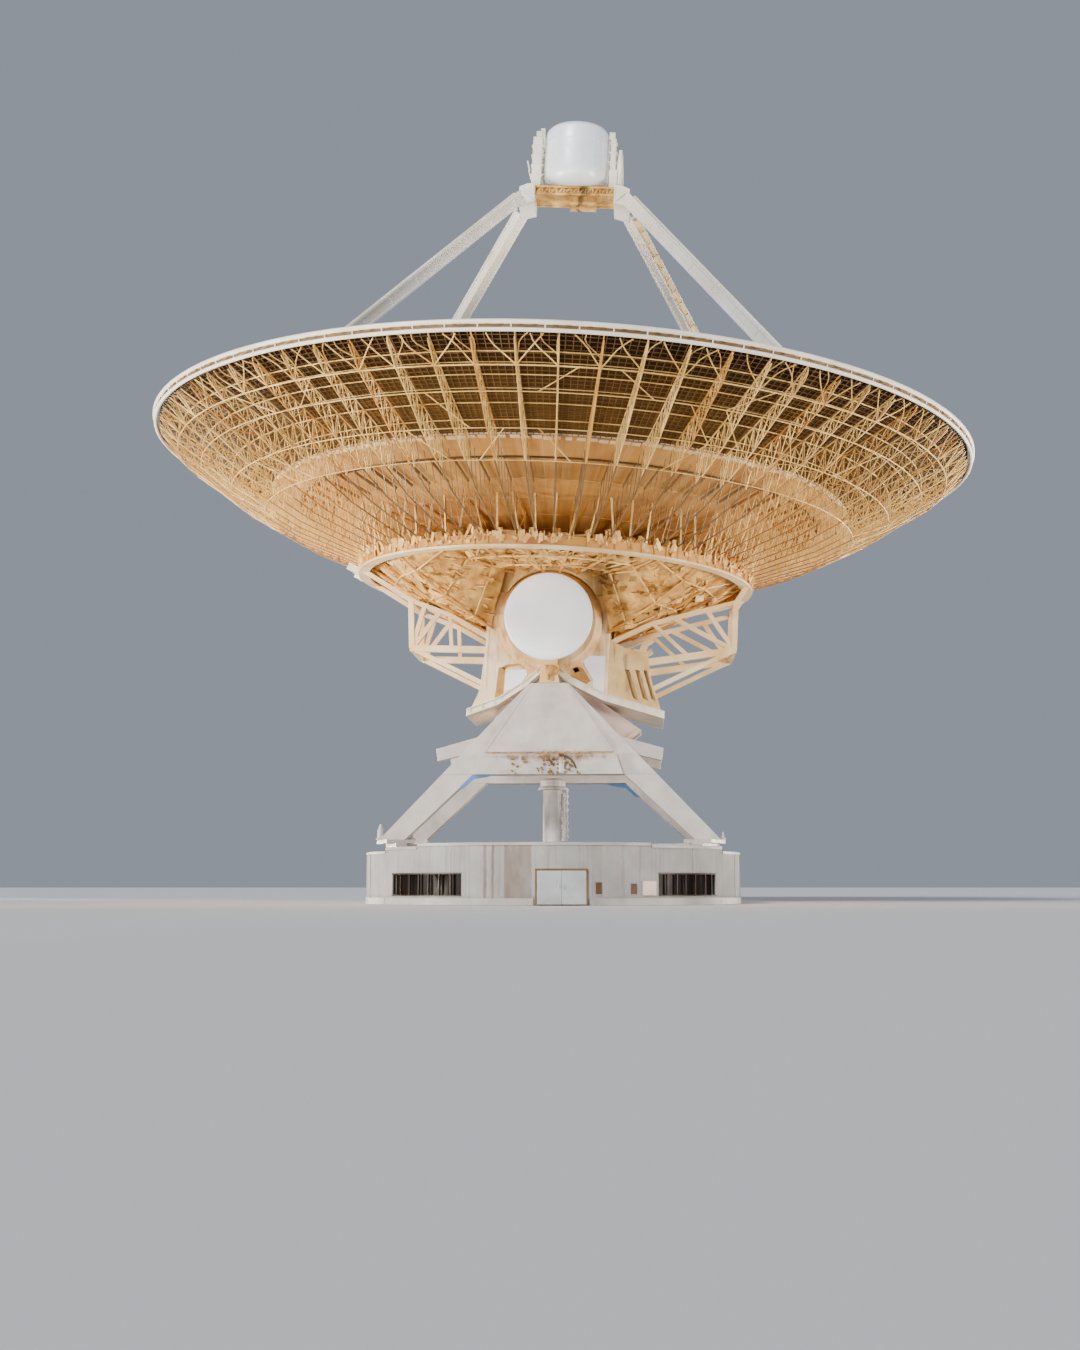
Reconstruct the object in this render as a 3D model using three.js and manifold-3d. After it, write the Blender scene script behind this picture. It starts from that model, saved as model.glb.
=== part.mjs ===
// A steerable radio telescope dish on its ring building, as a 1:2 scale model, in millimetres.
// +Z is up, the elevation axis lies along Y, and the origin is the ring's centre on the ground.
import * as THREE from 'three';
import { mergeVertices } from 'three/addons/utils/BufferGeometryUtils.js';
import Module from 'manifold-3d';

const wasm = await Module();
wasm.setup();

// Driving dimensions are real metres. One real metre is 500 mm in this 1:2 model.
const M = 500;
const GAP = 0.3 / M;            // what two fixed pieces keep between them
const RUNNING_GAP = 6 / M;      // what a turning piece keeps to a fixed one
const BORE_GAP = 0.5 / M;       // radial clearance of a shaft in its bearing
const BORE_FLATS = 24;
const HALF_FLAT = 180 / BORE_FLATS;
const deg = THREE.MathUtils.degToRad;

// Ring building
const WALL_R = 10.25;
const WALL_THICK = 0.6;
const PARAPET_THICK = 0.3;
const FRONT_WALL_TOP = 3.12;
const LEFT_BAY_TOP = 2.97;
const RIGHT_BAY_TOP = 3.02;
const REAR_WALL_TOP = 2.78;
const LEDGE_Z = 2.25;
const ROOF_Z = 2.6;
const FLOOR_Z = 0.15;
const FACET = 6;                // degrees of arc in one flat of the round wall
const BAY_SILL = 0.47;
const BAY_HEAD = 1.62;
const LEFT_BAY = [-51.4, -23.5];
const LEFT_STEP = -39.3;        // left of this bearing the wall's top is a little lower
const RIGHT_BAY = [34, 58.3];
const HATCHES = [[14.6, 16.6, 1.18], [24.8, 26.9, 1.12], [28.5, 31, 1.2]];
const HATCH_SILL = 0.5;
const HATCH_RELIEF = 0.04;
const DOOR_ANGLE = 5.35;        // where the double door stands, from the front towards +X
const DOOR_FRAME_HALF = 1.3;
const DOOR_FRAME_TOP = 1.8;
const DOOR_FRAME_BAR = 0.14;
const DOOR_FRAME_DEPTH = 0.3;
const LEAF_THICK = 0.07;

// Azimuth track and central column
const TRACK_R = 9;
const RAIL_HALF = 0.17;
const RAIL_TOP = 2.75;
const WHEEL_R = 0.3;
const WHEEL_HALF = 0.14;
const WHEEL_X = 0.62;           // each bogie's wheels, to either side of its middle
const BOGIE_HALF = 1;
const TRUCK_HALF = 0.3;
const TRUCK_BOTTOM = 2.95;
const COLUMN_R = 0.56;
const COLUMN_TOP = 6.25;
const WRAP_TOP = 6.9;
const COLLAR_R = 0.85;
const PINTLE_Z = [2.9, 3.3];

// Alidade
const FOOT_X = 8.2;
const FOOT_Y = 3.7;
const ARM_Z = [2.9, 3.2];
const FOOT_PLATE_Z = [3.2, 3.4];
const ARM_HALF = 0.28;
const PINTLE_HUB_R = 1.2;
const LEG_Y = [3.2, 4.2];
const FRAME_APEX = [1.05, 11.75];
const FRAME_BASE = [5.75, 6.85];
const LEG_WIDTH = 1.35;
const FACE_PLATE = [[3.45, 8.05], [0.95, 11.75]];
const CROSS_BOX = [[3.95, 6.85], [3.6, 7.92]];
const OUTRIGGER = [[3.2, 9.1], [3.2, 8.3], [6.02, 7.62], [6.12, 8.28]];
const POST_HALF = [0.55, 0.42, 0.62]; // the bearing post, at its foot, its waist and the axis
const POST_WAIST_Z = 12.6;
const BEARING_R = 1.25;
const BEARING_Y = [3.225, 4.025];
const AXIS_Z = 15.34;
const TRUNNION_R = 0.6;
const TRUNNION_END = 3.95;
const COVER_R = 2.38;
const COVER_HUB_R = 1.9;
const COVER_Y = [4.42, 4.5, 4.65];

// Elevating structure, measured from the elevation axis
const LEAN = 3;                 // degrees that the dish stands off the zenith at rest
const DISH_R = 22.86;
const FOCAL = 20.8;
const VERTEX_Z = 3.68;
const SKIN = 0.12;
const SOLID_R = 16.1;           // the plated part ends here and the mesh begins
const SOLID_BENDS = [3.5, 7.2, 10.8, 14.6];
const MESH_BENDS = [18.4, 20.4];
const RIM_R = [22.5, 22.86];
const RIM_Z = [9.35, 9.5];
const HUB_R = 3.5;
const GIRDER_R = 10.8;
const GIRDER_HALF = 0.25;
const GIRDER_Z = [2.45, 3];

// The ribs: their lower chords as [radius, height]. Those near the elevation axis pass over the
// bearings, and those beside the box reach down to its flanks.
const RIB_COUNT = 24;
const RIB_THICK = 0.16;
const RIB_CHORD = 0.2;
const RIB_POST = 0.09;
const RIB_START = HUB_R + 2 / M;
const RIB_END = RIM_R[0] - 3.5 / M;
const DEEP_COSINE = 0.7;        // ribs within 45 degrees of the X axis are deep ones
const GIRDER_TOP = GIRDER_Z[1] + GAP;
const OUTER_FOOT = [[GIRDER_R, GIRDER_TOP], [14.6, 4.35], [18.4, 6.25], [RIB_END, 9.3]];
const SHALLOW_FOOT = [[RIB_START, 2.6], [7.2, 2.7], ...OUTER_FOOT];
const DEEP_FOOT = [[RIB_START, -0.7], [7.2, 0.95], ...OUTER_FOOT];

// The box between the A-frames, the bow-shaped plate under it and what stands beside it
const BOX_HALF_Y = 2.4;
const BOX_RIGHT = 3.3;
const BOX_TOP = 1.6;
const BOX_LEFT_SIDE = [[-HUB_R, BOX_TOP], [-HUB_R, -1.5], [-3.7, -3.9], [-4.25, -5.3]];
const COLLAR_R1 = 2.85;
const COLLAR_R2 = 2.5;
const COLLAR_Y = [2.3, 2.6, 2.95];
const CHEVRON = [
  [-4.3, -5.45], [-2.6, -4.75], [-1.2, -3.75], [0.1, -2.45], [1.3, -3.45], [3.1, -4.25], [6.45, -5.1],
];
const CHEVRON_THICK = 0.42;
const CHEVRON_HALF_Y = 3;
const BAY_FLANK = [[6.3, -4.68], [5.66, -2.95], [5.4, -1.42]];
const BAY_TOP = [[BOX_RIGHT + GAP, -0.8], [4.1, -1.2], [4.9, -1.4]];
const BAY_SLOTS = [[4.2, 4.45], [4.75, 5.0], [5.2, 5.4]];
const SECTOR_R = 7.7;
const SECTOR_ARC = [-117, -47];
const SECTOR_HALF_Y = 1.6;

// Side frames, between the box or the bay and the ring girder
const SIDE_FRAME_Y = 2.2;
const LEFT_FRAME = { corner: [-7.6, -1.75], knee: [-7.82, 0.93], wall: [-3.2, -1.65], low: [-3.4, -3.6] };
const RIGHT_FRAME = { corner: [10.1, -1.1], knee: [10.1, 1.55], wall: [5.2, -2], low: [5.6, -3.5] };

// Feed legs and focus cabin
const FEED_FOOT = [14.95, 12.68]; // where each feed leg stands on the bowl, in x and y
const FEED_TOP = [2.8, 0.72, 25.6];
const FEED_LEG = [0.64, 0.72];
const BRACKET_END = 3.2;        // x of the seats where the feed legs meet the cabin frame
const BRACKET_HALF_Y = 1.15;
const BRACKET_ROOT = 1.9;
const BRACKET_Z = [25.5, 24.9]; // middle of the bracket at its root and one past its seat
const BRACKET_DEPTH = 1.1;
const CRADLE_HALF = [2.6, 0.84]; // the beam under the cabin, in x and y
const CRADLE_Z = [25.35, 25.93];
const HATCH_BOX = [[-0.25, 1.2], [-0.5, 0.5], [24.95, 25.4]];
const CABIN_POSTS = [[-2.25, -0.6], [-2.25, 0.6], [2.1, -0.6], [2.1, 0.6]];
const CABIN_POST_HALF = 0.2;
const POST_TOP = 29.3;
const CABIN_R = 1.9;
const CABIN_PROFILE = [[1, 25.93], [1.5, 26.15], [1.8, 26.5], [CABIN_R, 26.9], [CABIN_R, 29.2], [1.72, 29.5],
  [1.3, 29.65], [0, 29.72]];

// Turns a closed three.js geometry into a solid that can be joined and cut.
function solid(geometry) {
  const bare = geometry.index ? geometry.toNonIndexed() : geometry.clone();
  bare.deleteAttribute('normal');
  bare.deleteAttribute('uv');
  const merged = mergeVertices(bare, 1e-4);
  return new wasm.Manifold(new wasm.Mesh({
    numProp: 3,
    vertProperties: merged.attributes.position.array,
    triVerts: new Uint32Array(merged.index.array),
  }));
}

// Turns a solid back into a three.js geometry.
function geometryOf(body) {
  const mesh = body.getMesh();
  const geometry = new THREE.BufferGeometry();
  geometry.setAttribute('position', new THREE.BufferAttribute(mesh.vertProperties, 3));
  geometry.setIndex(new THREE.BufferAttribute(mesh.triVerts, 1));
  geometry.computeVertexNormals();
  return geometry;
}

function join(...geometries) {
  return geometryOf(geometries.map(solid).reduce((sum, item) => sum.add(item)));
}

function cut(geometry, ...tools) {
  return geometryOf(tools.map(solid).reduce((rest, tool) => rest.subtract(tool), solid(geometry)));
}

function common(a, b) {
  return geometryOf(solid(a).intersect(solid(b)));
}

// A box between two corners, in real metres.
function box(x, y, z) {
  const geometry = new THREE.BoxGeometry((x[1] - x[0]) * M, (y[1] - y[0]) * M, (z[1] - z[0]) * M);
  geometry.translate((x[0] + x[1]) / 2 * M, (y[0] + y[1]) / 2 * M, (z[0] + z[1]) / 2 * M);
  return geometry;
}

function shapeOf(points) {
  return new THREE.Shape(points.map(([u, v]) => new THREE.Vector2(u * M, v * M)));
}

// An outline in the XZ plane, drawn out between two values of y.
function prismY(points, y, holes = []) {
  const shape = shapeOf(points);
  shape.holes = holes.map((hole) => shapeOf(hole));
  const geometry = new THREE.ExtrudeGeometry(shape, { depth: (y[1] - y[0]) * M, bevelEnabled: false });
  geometry.rotateX(Math.PI / 2);
  geometry.translate(0, y[1] * M, 0);
  return geometry;
}

// An outline in plan, drawn up between two heights.
function prismZ(points, z) {
  const depth = (z[1] - z[0]) * M;
  const geometry = new THREE.ExtrudeGeometry(shapeOf(points), { depth, bevelEnabled: false });
  geometry.translate(0, 0, z[0] * M);
  return geometry;
}

// A closed profile of [radius, height] points turned about the Z axis, with its faces outwards.
function lathe(profile, segments, start = 0) {
  const points = profile.map(([r, z]) => new THREE.Vector2(r * M, z * M));
  if (THREE.ShapeUtils.area(points) < 0) {
    points.reverse();
  }
  if (points[0].x > 0) {
    points.push(points[0].clone());
  }
  const geometry = new THREE.LatheGeometry(points, segments);
  geometry.rotateX(Math.PI / 2);
  geometry.rotateZ(deg(start));
  return geometry;
}

// The same, turned about the Y axis.
function latheY(profile, segments, start = 0) {
  const geometry = lathe(profile, segments, start);
  geometry.rotateX(-Math.PI / 2);
  return geometry;
}

// A straight square bar between two points, with its width level and its depth upright.
function bar(from, to, width, depth = width) {
  const a = new THREE.Vector3(...from).multiplyScalar(M);
  const b = new THREE.Vector3(...to).multiplyScalar(M);
  const along = b.clone().sub(a);
  const length = along.length();
  along.normalize();
  const up = Math.abs(along.z) > 0.99 ? new THREE.Vector3(1, 0, 0) : new THREE.Vector3(0, 0, 1);
  const side = new THREE.Vector3().crossVectors(up, along).normalize();
  const top = new THREE.Vector3().crossVectors(along, side);
  const geometry = new THREE.BoxGeometry(length, width * M, depth * M);
  geometry.applyMatrix4(new THREE.Matrix4().makeBasis(along, side, top));
  geometry.translate((a.x + b.x) / 2, (a.y + b.y) / 2, (a.z + b.z) / 2);
  return geometry;
}

// The profile of a solid disc between two heights.
function disc(radius, low, high) {
  return [[0, low], [radius, low], [radius, high], [0, high]];
}

// The profile of a bore that comes no closer to its shaft than the clearance, flats included.
function boreAround(radius, low, high) {
  return disc((radius + BORE_GAP) / Math.cos(Math.PI / BORE_FLATS), low, high);
}

// A point of the plan at a bearing counted from the front, -Y, towards +X.
function bearing(radius, angle) {
  return [radius * Math.sin(deg(angle)), -radius * Math.cos(deg(angle))];
}

// The plan of a stretch of round wall.
function arcPlan(inner, outer, from, to) {
  const flats = Math.max(1, Math.round((to - from) / FACET));
  const angles = Array.from({ length: flats + 1 }, (_, i) => from + (to - from) * i / flats);
  const outside = angles.map((angle) => bearing(outer, angle));
  const inside = angles.map((angle) => bearing(inner, angle)).reverse();
  return [...outside, ...inside];
}

function finish(color, roughness, metalness) {
  return { color, roughness, metalness };
}

const WHITE = finish(0xe9e7e4, 0.5, 0.1);
const WALL = finish(0xdcd9d6, 0.8, 0);
const CONCRETE = finish(0xa8a39b, 0.9, 0);
const CREAM = finish(0xe6d9c0, 0.55, 0.1);
const BUFF = finish(0xcf9f5c, 0.6, 0.2);
const BROWN = finish(0x7a5230, 0.7, 0.2);
const GLASS = finish(0x25262a, 0.15, 0);
const MESH = finish(0x6e6250, 0.6, 0.4);
const STEEL = finish(0x77736c, 0.45, 0.7);

const telescope = new THREE.Group();
const dish = new THREE.Group();
dish.position.set(0, 0, AXIS_Z * M);
dish.rotation.y = deg(LEAN);
telescope.add(dish);

function place(group, name, geometry, look) {
  const mesh = new THREE.Mesh(geometry, new THREE.MeshStandardMaterial(look));
  mesh.name = name;
  group.add(mesh);
  return mesh;
}

// The round wall: thick up to the ledge that the roof rests on, and a thinner parapet above it.
function wallArc(from, to, top, bottom = 0) {
  const inner = WALL_R - WALL_THICK;
  const parapet = WALL_R - PARAPET_THICK;
  const lower = prismZ(arcPlan(inner, WALL_R, from, to), [bottom, LEDGE_Z]);
  const upper = prismZ(arcPlan(parapet, WALL_R, from, to), [LEDGE_Z, top]);
  return join(lower, upper);
}

// A block across the wall at a bearing, for a doorway or its lintel.
function doorBlock(half, z, grow = 0) {
  const block = box([-half - grow, half + grow], [-WALL_R - 1, -WALL_R + 1.4], z);
  block.rotateZ(deg(DOOR_ANGLE));
  return block;
}

function buildWalls() {
  const end = GAP / WALL_R * 180 / Math.PI;
  const bayCut = ([from, to]) => prismZ(arcPlan(WALL_R - 1, WALL_R + 0.4, from, to), [BAY_SILL, BAY_HEAD]);
  const leftEdge = LEFT_BAY[0] - 4;
  const rightEdge = RIGHT_BAY[1] + 4;
  const besideLeft = LEFT_BAY[1] + 2.5;
  const besideRight = RIGHT_BAY[0] - 2.5;
  const doorway = doorBlock(DOOR_FRAME_HALF, [-1, 4], GAP);

  const left = wallArc(leftEdge, besideLeft - end, FRONT_WALL_TOP);
  const lowered = prismZ(
    arcPlan(WALL_R - 1, WALL_R + 1, leftEdge - 2, LEFT_STEP),
    [LEFT_BAY_TOP, FRONT_WALL_TOP + 1],
  );
  place(telescope, 'wall_left_bay', cut(left, lowered, bayCut(LEFT_BAY)), WALL);
  const nearLeft = wallArc(besideLeft, DOOR_ANGLE, FRONT_WALL_TOP);
  place(telescope, 'wall_beside_door_left', cut(nearLeft, doorway), WALL);

  // Three shallow hatch panels stand out of the wall to the right of the door.
  const hatches = HATCHES.map(([from, to, top]) => (
    prismZ(arcPlan(WALL_R - 0.2, WALL_R + HATCH_RELIEF, from, to), [HATCH_SILL, top])));
  const nearRight = wallArc(DOOR_ANGLE, besideRight, FRONT_WALL_TOP);
  place(telescope, 'wall_beside_door_right', join(cut(nearRight, doorway), ...hatches), WALL);
  const over = wallArc(DOOR_ANGLE - 11, DOOR_ANGLE + 11, FRONT_WALL_TOP, DOOR_FRAME_TOP + GAP);
  place(telescope, 'wall_over_door', common(over, doorBlock(DOOR_FRAME_HALF, [-1, 4])), WALL);
  const right = wallArc(besideRight + end, rightEdge, RIGHT_BAY_TOP);
  place(telescope, 'wall_right_bay', cut(right, bayCut(RIGHT_BAY)), WALL);

  const rearCount = 4;
  const step = (360 - rightEdge + leftEdge) / rearCount;
  for (let i = 0; i < rearCount; i += 1) {
    const from = rightEdge + i * step;
    place(telescope, `wall_rear_${i + 1}`, wallArc(from + end, from + step - end, REAR_WALL_TOP), WALL);
  }
}

// A glazed band that stands in a bay with a small gap all round.
function glazing(name, [from, to]) {
  const inset = GAP / WALL_R * 180 / Math.PI;
  const plan = arcPlan(WALL_R - 0.4, WALL_R - 0.28, from + inset, to - inset);
  place(telescope, name, prismZ(plan, [BAY_SILL + GAP, BAY_HEAD - GAP]), GLASS);
}

// The double door: a fixed frame and two leaves that swing outwards.
function buildDoor() {
  const door = new THREE.Group();
  door.rotation.z = deg(DOOR_ANGLE);
  telescope.add(door);
  const face = -WALL_R;
  const y = [face, face + DOOR_FRAME_DEPTH];
  const inside = DOOR_FRAME_HALF - DOOR_FRAME_BAR;
  const outer = box([-DOOR_FRAME_HALF, DOOR_FRAME_HALF], y, [0, DOOR_FRAME_TOP]);
  const inner = box([-inside, inside], [y[0] - 1, y[1] + 1], [-1, DOOR_FRAME_TOP - DOOR_FRAME_BAR]);
  const leafY = [face - LEAF_THICK, face - RUNNING_GAP];
  const lap = 0.05;
  const leafZ = [0.06, DOOR_FRAME_TOP - DOOR_FRAME_BAR + lap];
  // Each leaf turns on a lug under its outer corner and one over it.
  const lugZ = [[0.02, leafZ[0] - 2 * GAP], [leafZ[1] + 2 * GAP, leafZ[1] + 0.04]];
  const lugs = [-1, 1].flatMap((side) => lugZ.map((z) => {
    const x = side * (inside + lap);
    return box([x - 0.04, x + 0.04], [leafY[0] - 0.02, face + 0.1], z);
  }));
  place(door, 'door_frame', join(cut(outer, inner), ...lugs), BROWN);

  const middle = RUNNING_GAP;
  for (const [name, side] of [['door_leaf_left', -1], ['door_leaf_right', 1]]) {
    const x = [middle / 2, inside + lap].map((value) => side * value).sort((a, b) => a - b);
    const handleX = [0.1, 0.16].map((value) => side * value).sort((a, b) => a - b);
    const leaf = box(x, leafY, leafZ);
    const handle = box(handleX, [leafY[0] - 0.06, leafY[0] + 0.01], [0.8, 1.05]);
    place(door, name, join(leaf, handle), WHITE);
  }
}

function buildFloors() {
  const inner = WALL_R - WALL_THICK;
  const snug = Math.cos(deg(FACET * 0.65));
  place(telescope, 'floor_slab', lathe(disc(inner * snug - GAP, 0, FLOOR_Z), 48), CONCRETE);
  const roofR = (WALL_R - PARAPET_THICK) * snug - GAP;
  const hole = (COLUMN_R + GAP) / Math.cos(Math.PI / BORE_FLATS);
  place(telescope, 'roof_slab', lathe([
    [hole, LEDGE_Z + GAP],
    [roofR, LEDGE_Z + GAP],
    [roofR, ROOF_Z],
    [hole, ROOF_Z],
  ], 48), CONCRETE);
  place(telescope, 'track_rail', lathe([
    [TRACK_R - RAIL_HALF, ROOF_Z + GAP],
    [TRACK_R + RAIL_HALF, ROOF_Z + GAP],
    [TRACK_R + RAIL_HALF, RAIL_TOP],
    [TRACK_R - RAIL_HALF, RAIL_TOP],
  ], 48), STEEL);
}

// The central column carries the pintle collar, and the cable wrap stands on its top.
function buildColumn() {
  place(telescope, 'central_column', lathe([
    [0, FLOOR_Z + GAP],
    [COLUMN_R, FLOOR_Z + GAP],
    [COLUMN_R, ROOF_Z + GAP],
    [COLLAR_R, ROOF_Z + GAP],
    [COLLAR_R, PINTLE_Z[0] - GAP],
    [COLUMN_R, PINTLE_Z[0] - GAP],
    [COLUMN_R, COLUMN_TOP],
    [0, COLUMN_TOP],
  ], 24), WHITE);
  place(telescope, 'cable_wrap', lathe([
    [0, COLUMN_TOP + GAP],
    [0.82, COLUMN_TOP + GAP],
    [0.82, COLUMN_TOP + 0.12],
    [0.7, COLUMN_TOP + 0.2],
    [0.7, WRAP_TOP - 0.12],
    [0.5, WRAP_TOP],
    [0, WRAP_TOP],
  ], 24), BROWN);
}

// Four bogies carry the alidade: a foot plate over a truck with two wheels above the rail.
function bogie(side, front) {
  const along = [-BOGIE_HALF, BOGIE_HALF];
  const plate = box(along, [-0.8, 0.75], FOOT_PLATE_Z);
  const truck = box(along, [-TRUCK_HALF, TRUCK_HALF], [TRUCK_BOTTOM, FOOT_PLATE_Z[0]]);
  const axleZ = RAIL_TOP + RUNNING_GAP + WHEEL_R;
  const wheels = [-WHEEL_X, WHEEL_X].map((x) => {
    const wheel = latheY(disc(WHEEL_R, -WHEEL_HALF, WHEEL_HALF), 16);
    wheel.translate(x * M, 0, axleZ * M);
    return wheel;
  });
  const geometry = join(plate, truck, ...wheels);
  geometry.rotateZ(Math.atan2(side * FOOT_X, -front * FOOT_Y));
  const reach = TRACK_R / Math.hypot(FOOT_X, FOOT_Y);
  geometry.translate(side * FOOT_X * reach * M, front * FOOT_Y * reach * M, 0);
  return geometry;
}

// The pintle frame: a hub that turns on the column's collar, and an arm out to each bogie.
function pintleFrame() {
  const turn = Math.atan2(FOOT_Y, FOOT_X);
  const armEnd = TRACK_R - TRUCK_HALF - GAP;
  const arms = [turn, Math.PI - turn, Math.PI + turn, -turn].map((angle) => {
    const arm = box([0, armEnd], [-ARM_HALF, ARM_HALF], [ARM_Z[0], ARM_Z[1] - GAP]);
    arm.rotateZ(angle);
    return arm;
  });
  const hub = lathe(disc(PINTLE_HUB_R, ...PINTLE_Z), BORE_FLATS);
  const bore = lathe(boreAround(COLUMN_R, PINTLE_Z[0] - 1, PINTLE_Z[1] + 1), BORE_FLATS, HALF_FLAT);
  return cut(join(...arms, hub), bore);
}

// The outline whose right half has these corners, from the bottom up.
function symmetric(corners) {
  return [...corners, ...corners.map(([x, z]) => [-x, z]).reverse()];
}

// One A-frame, front or rear: the plated tower with its cross box, outriggers and bearing post.
function buildFrame(front) {
  const name = front < 0 ? 'front' : 'rear';
  const span = (a, b) => [front * a, front * b].sort((p, q) => p - q);
  const [apexX, apexZ] = FRAME_APEX;
  const [baseX, baseZ] = FRAME_BASE;
  const tower = prismY(symmetric([FRAME_BASE, FRAME_APEX]), span(...LEG_Y));
  const plate = prismY(symmetric(FACE_PLATE), span(4.15, 4.3));
  const cross = prismY(symmetric(CROSS_BOX), span(4.15, 4.5));
  const wings = [-1, 1].map((side) => prismY(OUTRIGGER.map(([x, z]) => [side * x, z]), span(3.1, 3.65)));
  place(telescope, `tower_${name}`, join(tower, plate, cross, ...wings), WHITE);

  const footZ = FOOT_PLATE_Z[1] + GAP;
  const footOuter = baseX + (baseZ - footZ) * (baseX - apexX) / (apexZ - baseZ);
  for (const [sideName, side] of [['left', -1], ['right', 1]]) {
    place(telescope, `leg_${name}_${sideName}`, prismY([
      [side * baseX, baseZ - GAP],
      [side * (baseX - 1.27 * LEG_WIDTH), baseZ - GAP],
      [side * (footOuter - LEG_WIDTH), footZ],
      [side * footOuter, footZ],
    ], span(...LEG_Y)), WHITE);
    place(telescope, `bogie_${name}_${sideName}`, bogie(side, front), STEEL);
  }

  const [footHalf, waistHalf, axisHalf] = POST_HALF;
  const outline = symmetric([[footHalf, apexZ + GAP], [waistHalf, POST_WAIST_Z], [axisHalf, AXIS_Z]]);
  const post = prismY(outline, span(3.25, 4));
  const ring = latheY(disc(BEARING_R, ...span(...BEARING_Y)), BORE_FLATS);
  const through = span(BEARING_Y[0] - 1, BEARING_Y[1] + 1);
  const bore = latheY(boreAround(TRUNNION_R, ...through), BORE_FLATS, HALF_FLAT);
  for (const part of [ring, bore]) {
    part.translate(0, 0, AXIS_Z * M);
  }
  place(telescope, `bearing_post_${name}`, cut(join(post, ring), bore), BUFF);

  const [neckY, lipY, faceY] = COVER_Y;
  const cover = latheY([
    [0, front * faceY],
    [COVER_R, front * faceY],
    [COVER_R, front * lipY],
    [COVER_HUB_R, front * neckY],
    [COVER_HUB_R, front * (BEARING_Y[1] + GAP)],
    [0, front * (BEARING_Y[1] + GAP)],
  ], 48);
  cover.translate(0, 0, AXIS_Z * M);
  place(telescope, `bearing_cover_${name}`, cover, WHITE);
}

// Height of the reflecting surface above the elevation axis.
function surface(r) {
  return VERTEX_Z + r * r / (4 * FOCAL);
}

// A triangle drawn in by half a bar along each side, which leaves the bars of a truss round it.
function inset(triangle, by) {
  const points = triangle.map(([u, v]) => new THREE.Vector2(u, v));
  const middle = points.reduce((sum, p) => sum.add(p), new THREE.Vector2()).divideScalar(3);
  const lines = points.map((p, i) => {
    const q = points[(i + 1) % 3];
    const normal = new THREE.Vector2(p.y - q.y, q.x - p.x).normalize();
    if (normal.dot(middle.clone().sub(p)) < 0) {
      normal.negate();
    }
    return { normal, offset: normal.dot(p) + by[i] };
  });
  return lines.map((line, i) => {
    const next = lines[(i + 1) % 3];
    const det = line.normal.x * next.normal.y - line.normal.y * next.normal.x;
    return [
      (line.offset * next.normal.y - next.offset * line.normal.y) / det,
      (line.normal.x * next.offset - next.normal.x * line.offset) / det,
    ];
  });
}

// One radial truss, in its own plane, from the hub to the rim.
function rib(nodes) {
  const head = nodes.map(([r]) => [r, surface(r) - SKIN - 2 * GAP]);
  const bends = [nodes[0][0], ...SOLID_BENDS.slice(1), SOLID_R, ...MESH_BENDS, RIB_END];
  const skyline = bends.map((r) => [r, surface(r) - SKIN - 2 * GAP]);
  const holes = [];
  for (let i = 0; i + 1 < nodes.length; i += 1) {
    holes.push(inset([nodes[i], nodes[i + 1], head[i]], [RIB_CHORD, RIB_POST, RIB_POST]));
    if (i + 2 < nodes.length) {
      holes.push(inset([nodes[i + 1], head[i + 1], head[i]], [RIB_POST, RIB_CHORD, RIB_POST]));
    }
  }
  const seat = [-0.3, 0.3].map((dr) => [GIRDER_R + dr, GIRDER_TOP]);
  const foot = [...nodes.slice(0, 2), ...seat, ...nodes.slice(3)];
  return prismY([...foot, ...skyline.reverse()], [-RIB_THICK / 2, RIB_THICK / 2], holes);
}

// What the central box takes of the ribs' inner ends, with a gap all round.
function roomForBox() {
  const y = BOX_HALF_Y + GAP;
  return box([-HUB_R - GAP, BOX_RIGHT + GAP], [-y, y], [-6, BOX_TOP + GAP / 2]);
}

// A quarter of the back structure: its ribs, joined by two hoops along their lower chords.
function backFrame(quarter) {
  const ribs = RIB_COUNT / 4;
  const stepAngle = 360 / RIB_COUNT;
  const parts = [];
  for (let i = 0; i < ribs; i += 1) {
    const angle = quarter * 90 + (i + 0.5) * stepAngle;
    const deep = Math.abs(Math.cos(deg(angle))) > DEEP_COSINE;
    const piece = rib(deep ? DEEP_FOOT : SHALLOW_FOOT);
    piece.rotateZ(deg(angle));
    parts.push(deep ? cut(piece, roomForBox()) : piece);
    if (i + 1 < ribs) {
      for (const [r, z] of OUTER_FOOT.slice(1, 3)) {
        const at = (turn) => [r * Math.cos(deg(turn)), r * Math.sin(deg(turn)), z + 0.1];
        parts.push(bar(at(angle), at(angle + stepAngle), 0.2));
      }
    }
  }
  return join(...parts);
}

// Halves of a turned shell, parted along the XZ plane.
function halves(name, shell, look) {
  const reach = DISH_R + 1;
  for (const [side, y] of [['front', [-reach, -GAP / 2]], ['rear', [GAP / 2, reach]]]) {
    place(dish, `${name}_${side}`, common(shell, box([-reach, reach], y, [-1, 15])), look);
  }
}

function buildReflector() {
  const shellProfile = (radii) => [
    ...radii.map((r) => [r, surface(r) - SKIN]),
    ...radii.map((r) => [r, surface(r)]).reverse(),
  ];
  const segments = 2 * RIB_COUNT;
  halves('reflector', lathe(shellProfile([0, ...SOLID_BENDS, SOLID_R]), segments), CREAM);
  halves('mesh_ring', lathe(shellProfile([SOLID_R + GAP, ...MESH_BENDS, RIM_R[0] - GAP]), segments), MESH);
  const rimProfile = [...RIM_R.map((r, i) => [r, RIM_Z[i]]), ...RIM_R.map((r) => [r, surface(r)]).reverse()];
  halves('rim', lathe(rimProfile, segments), WHITE);
}

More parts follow.
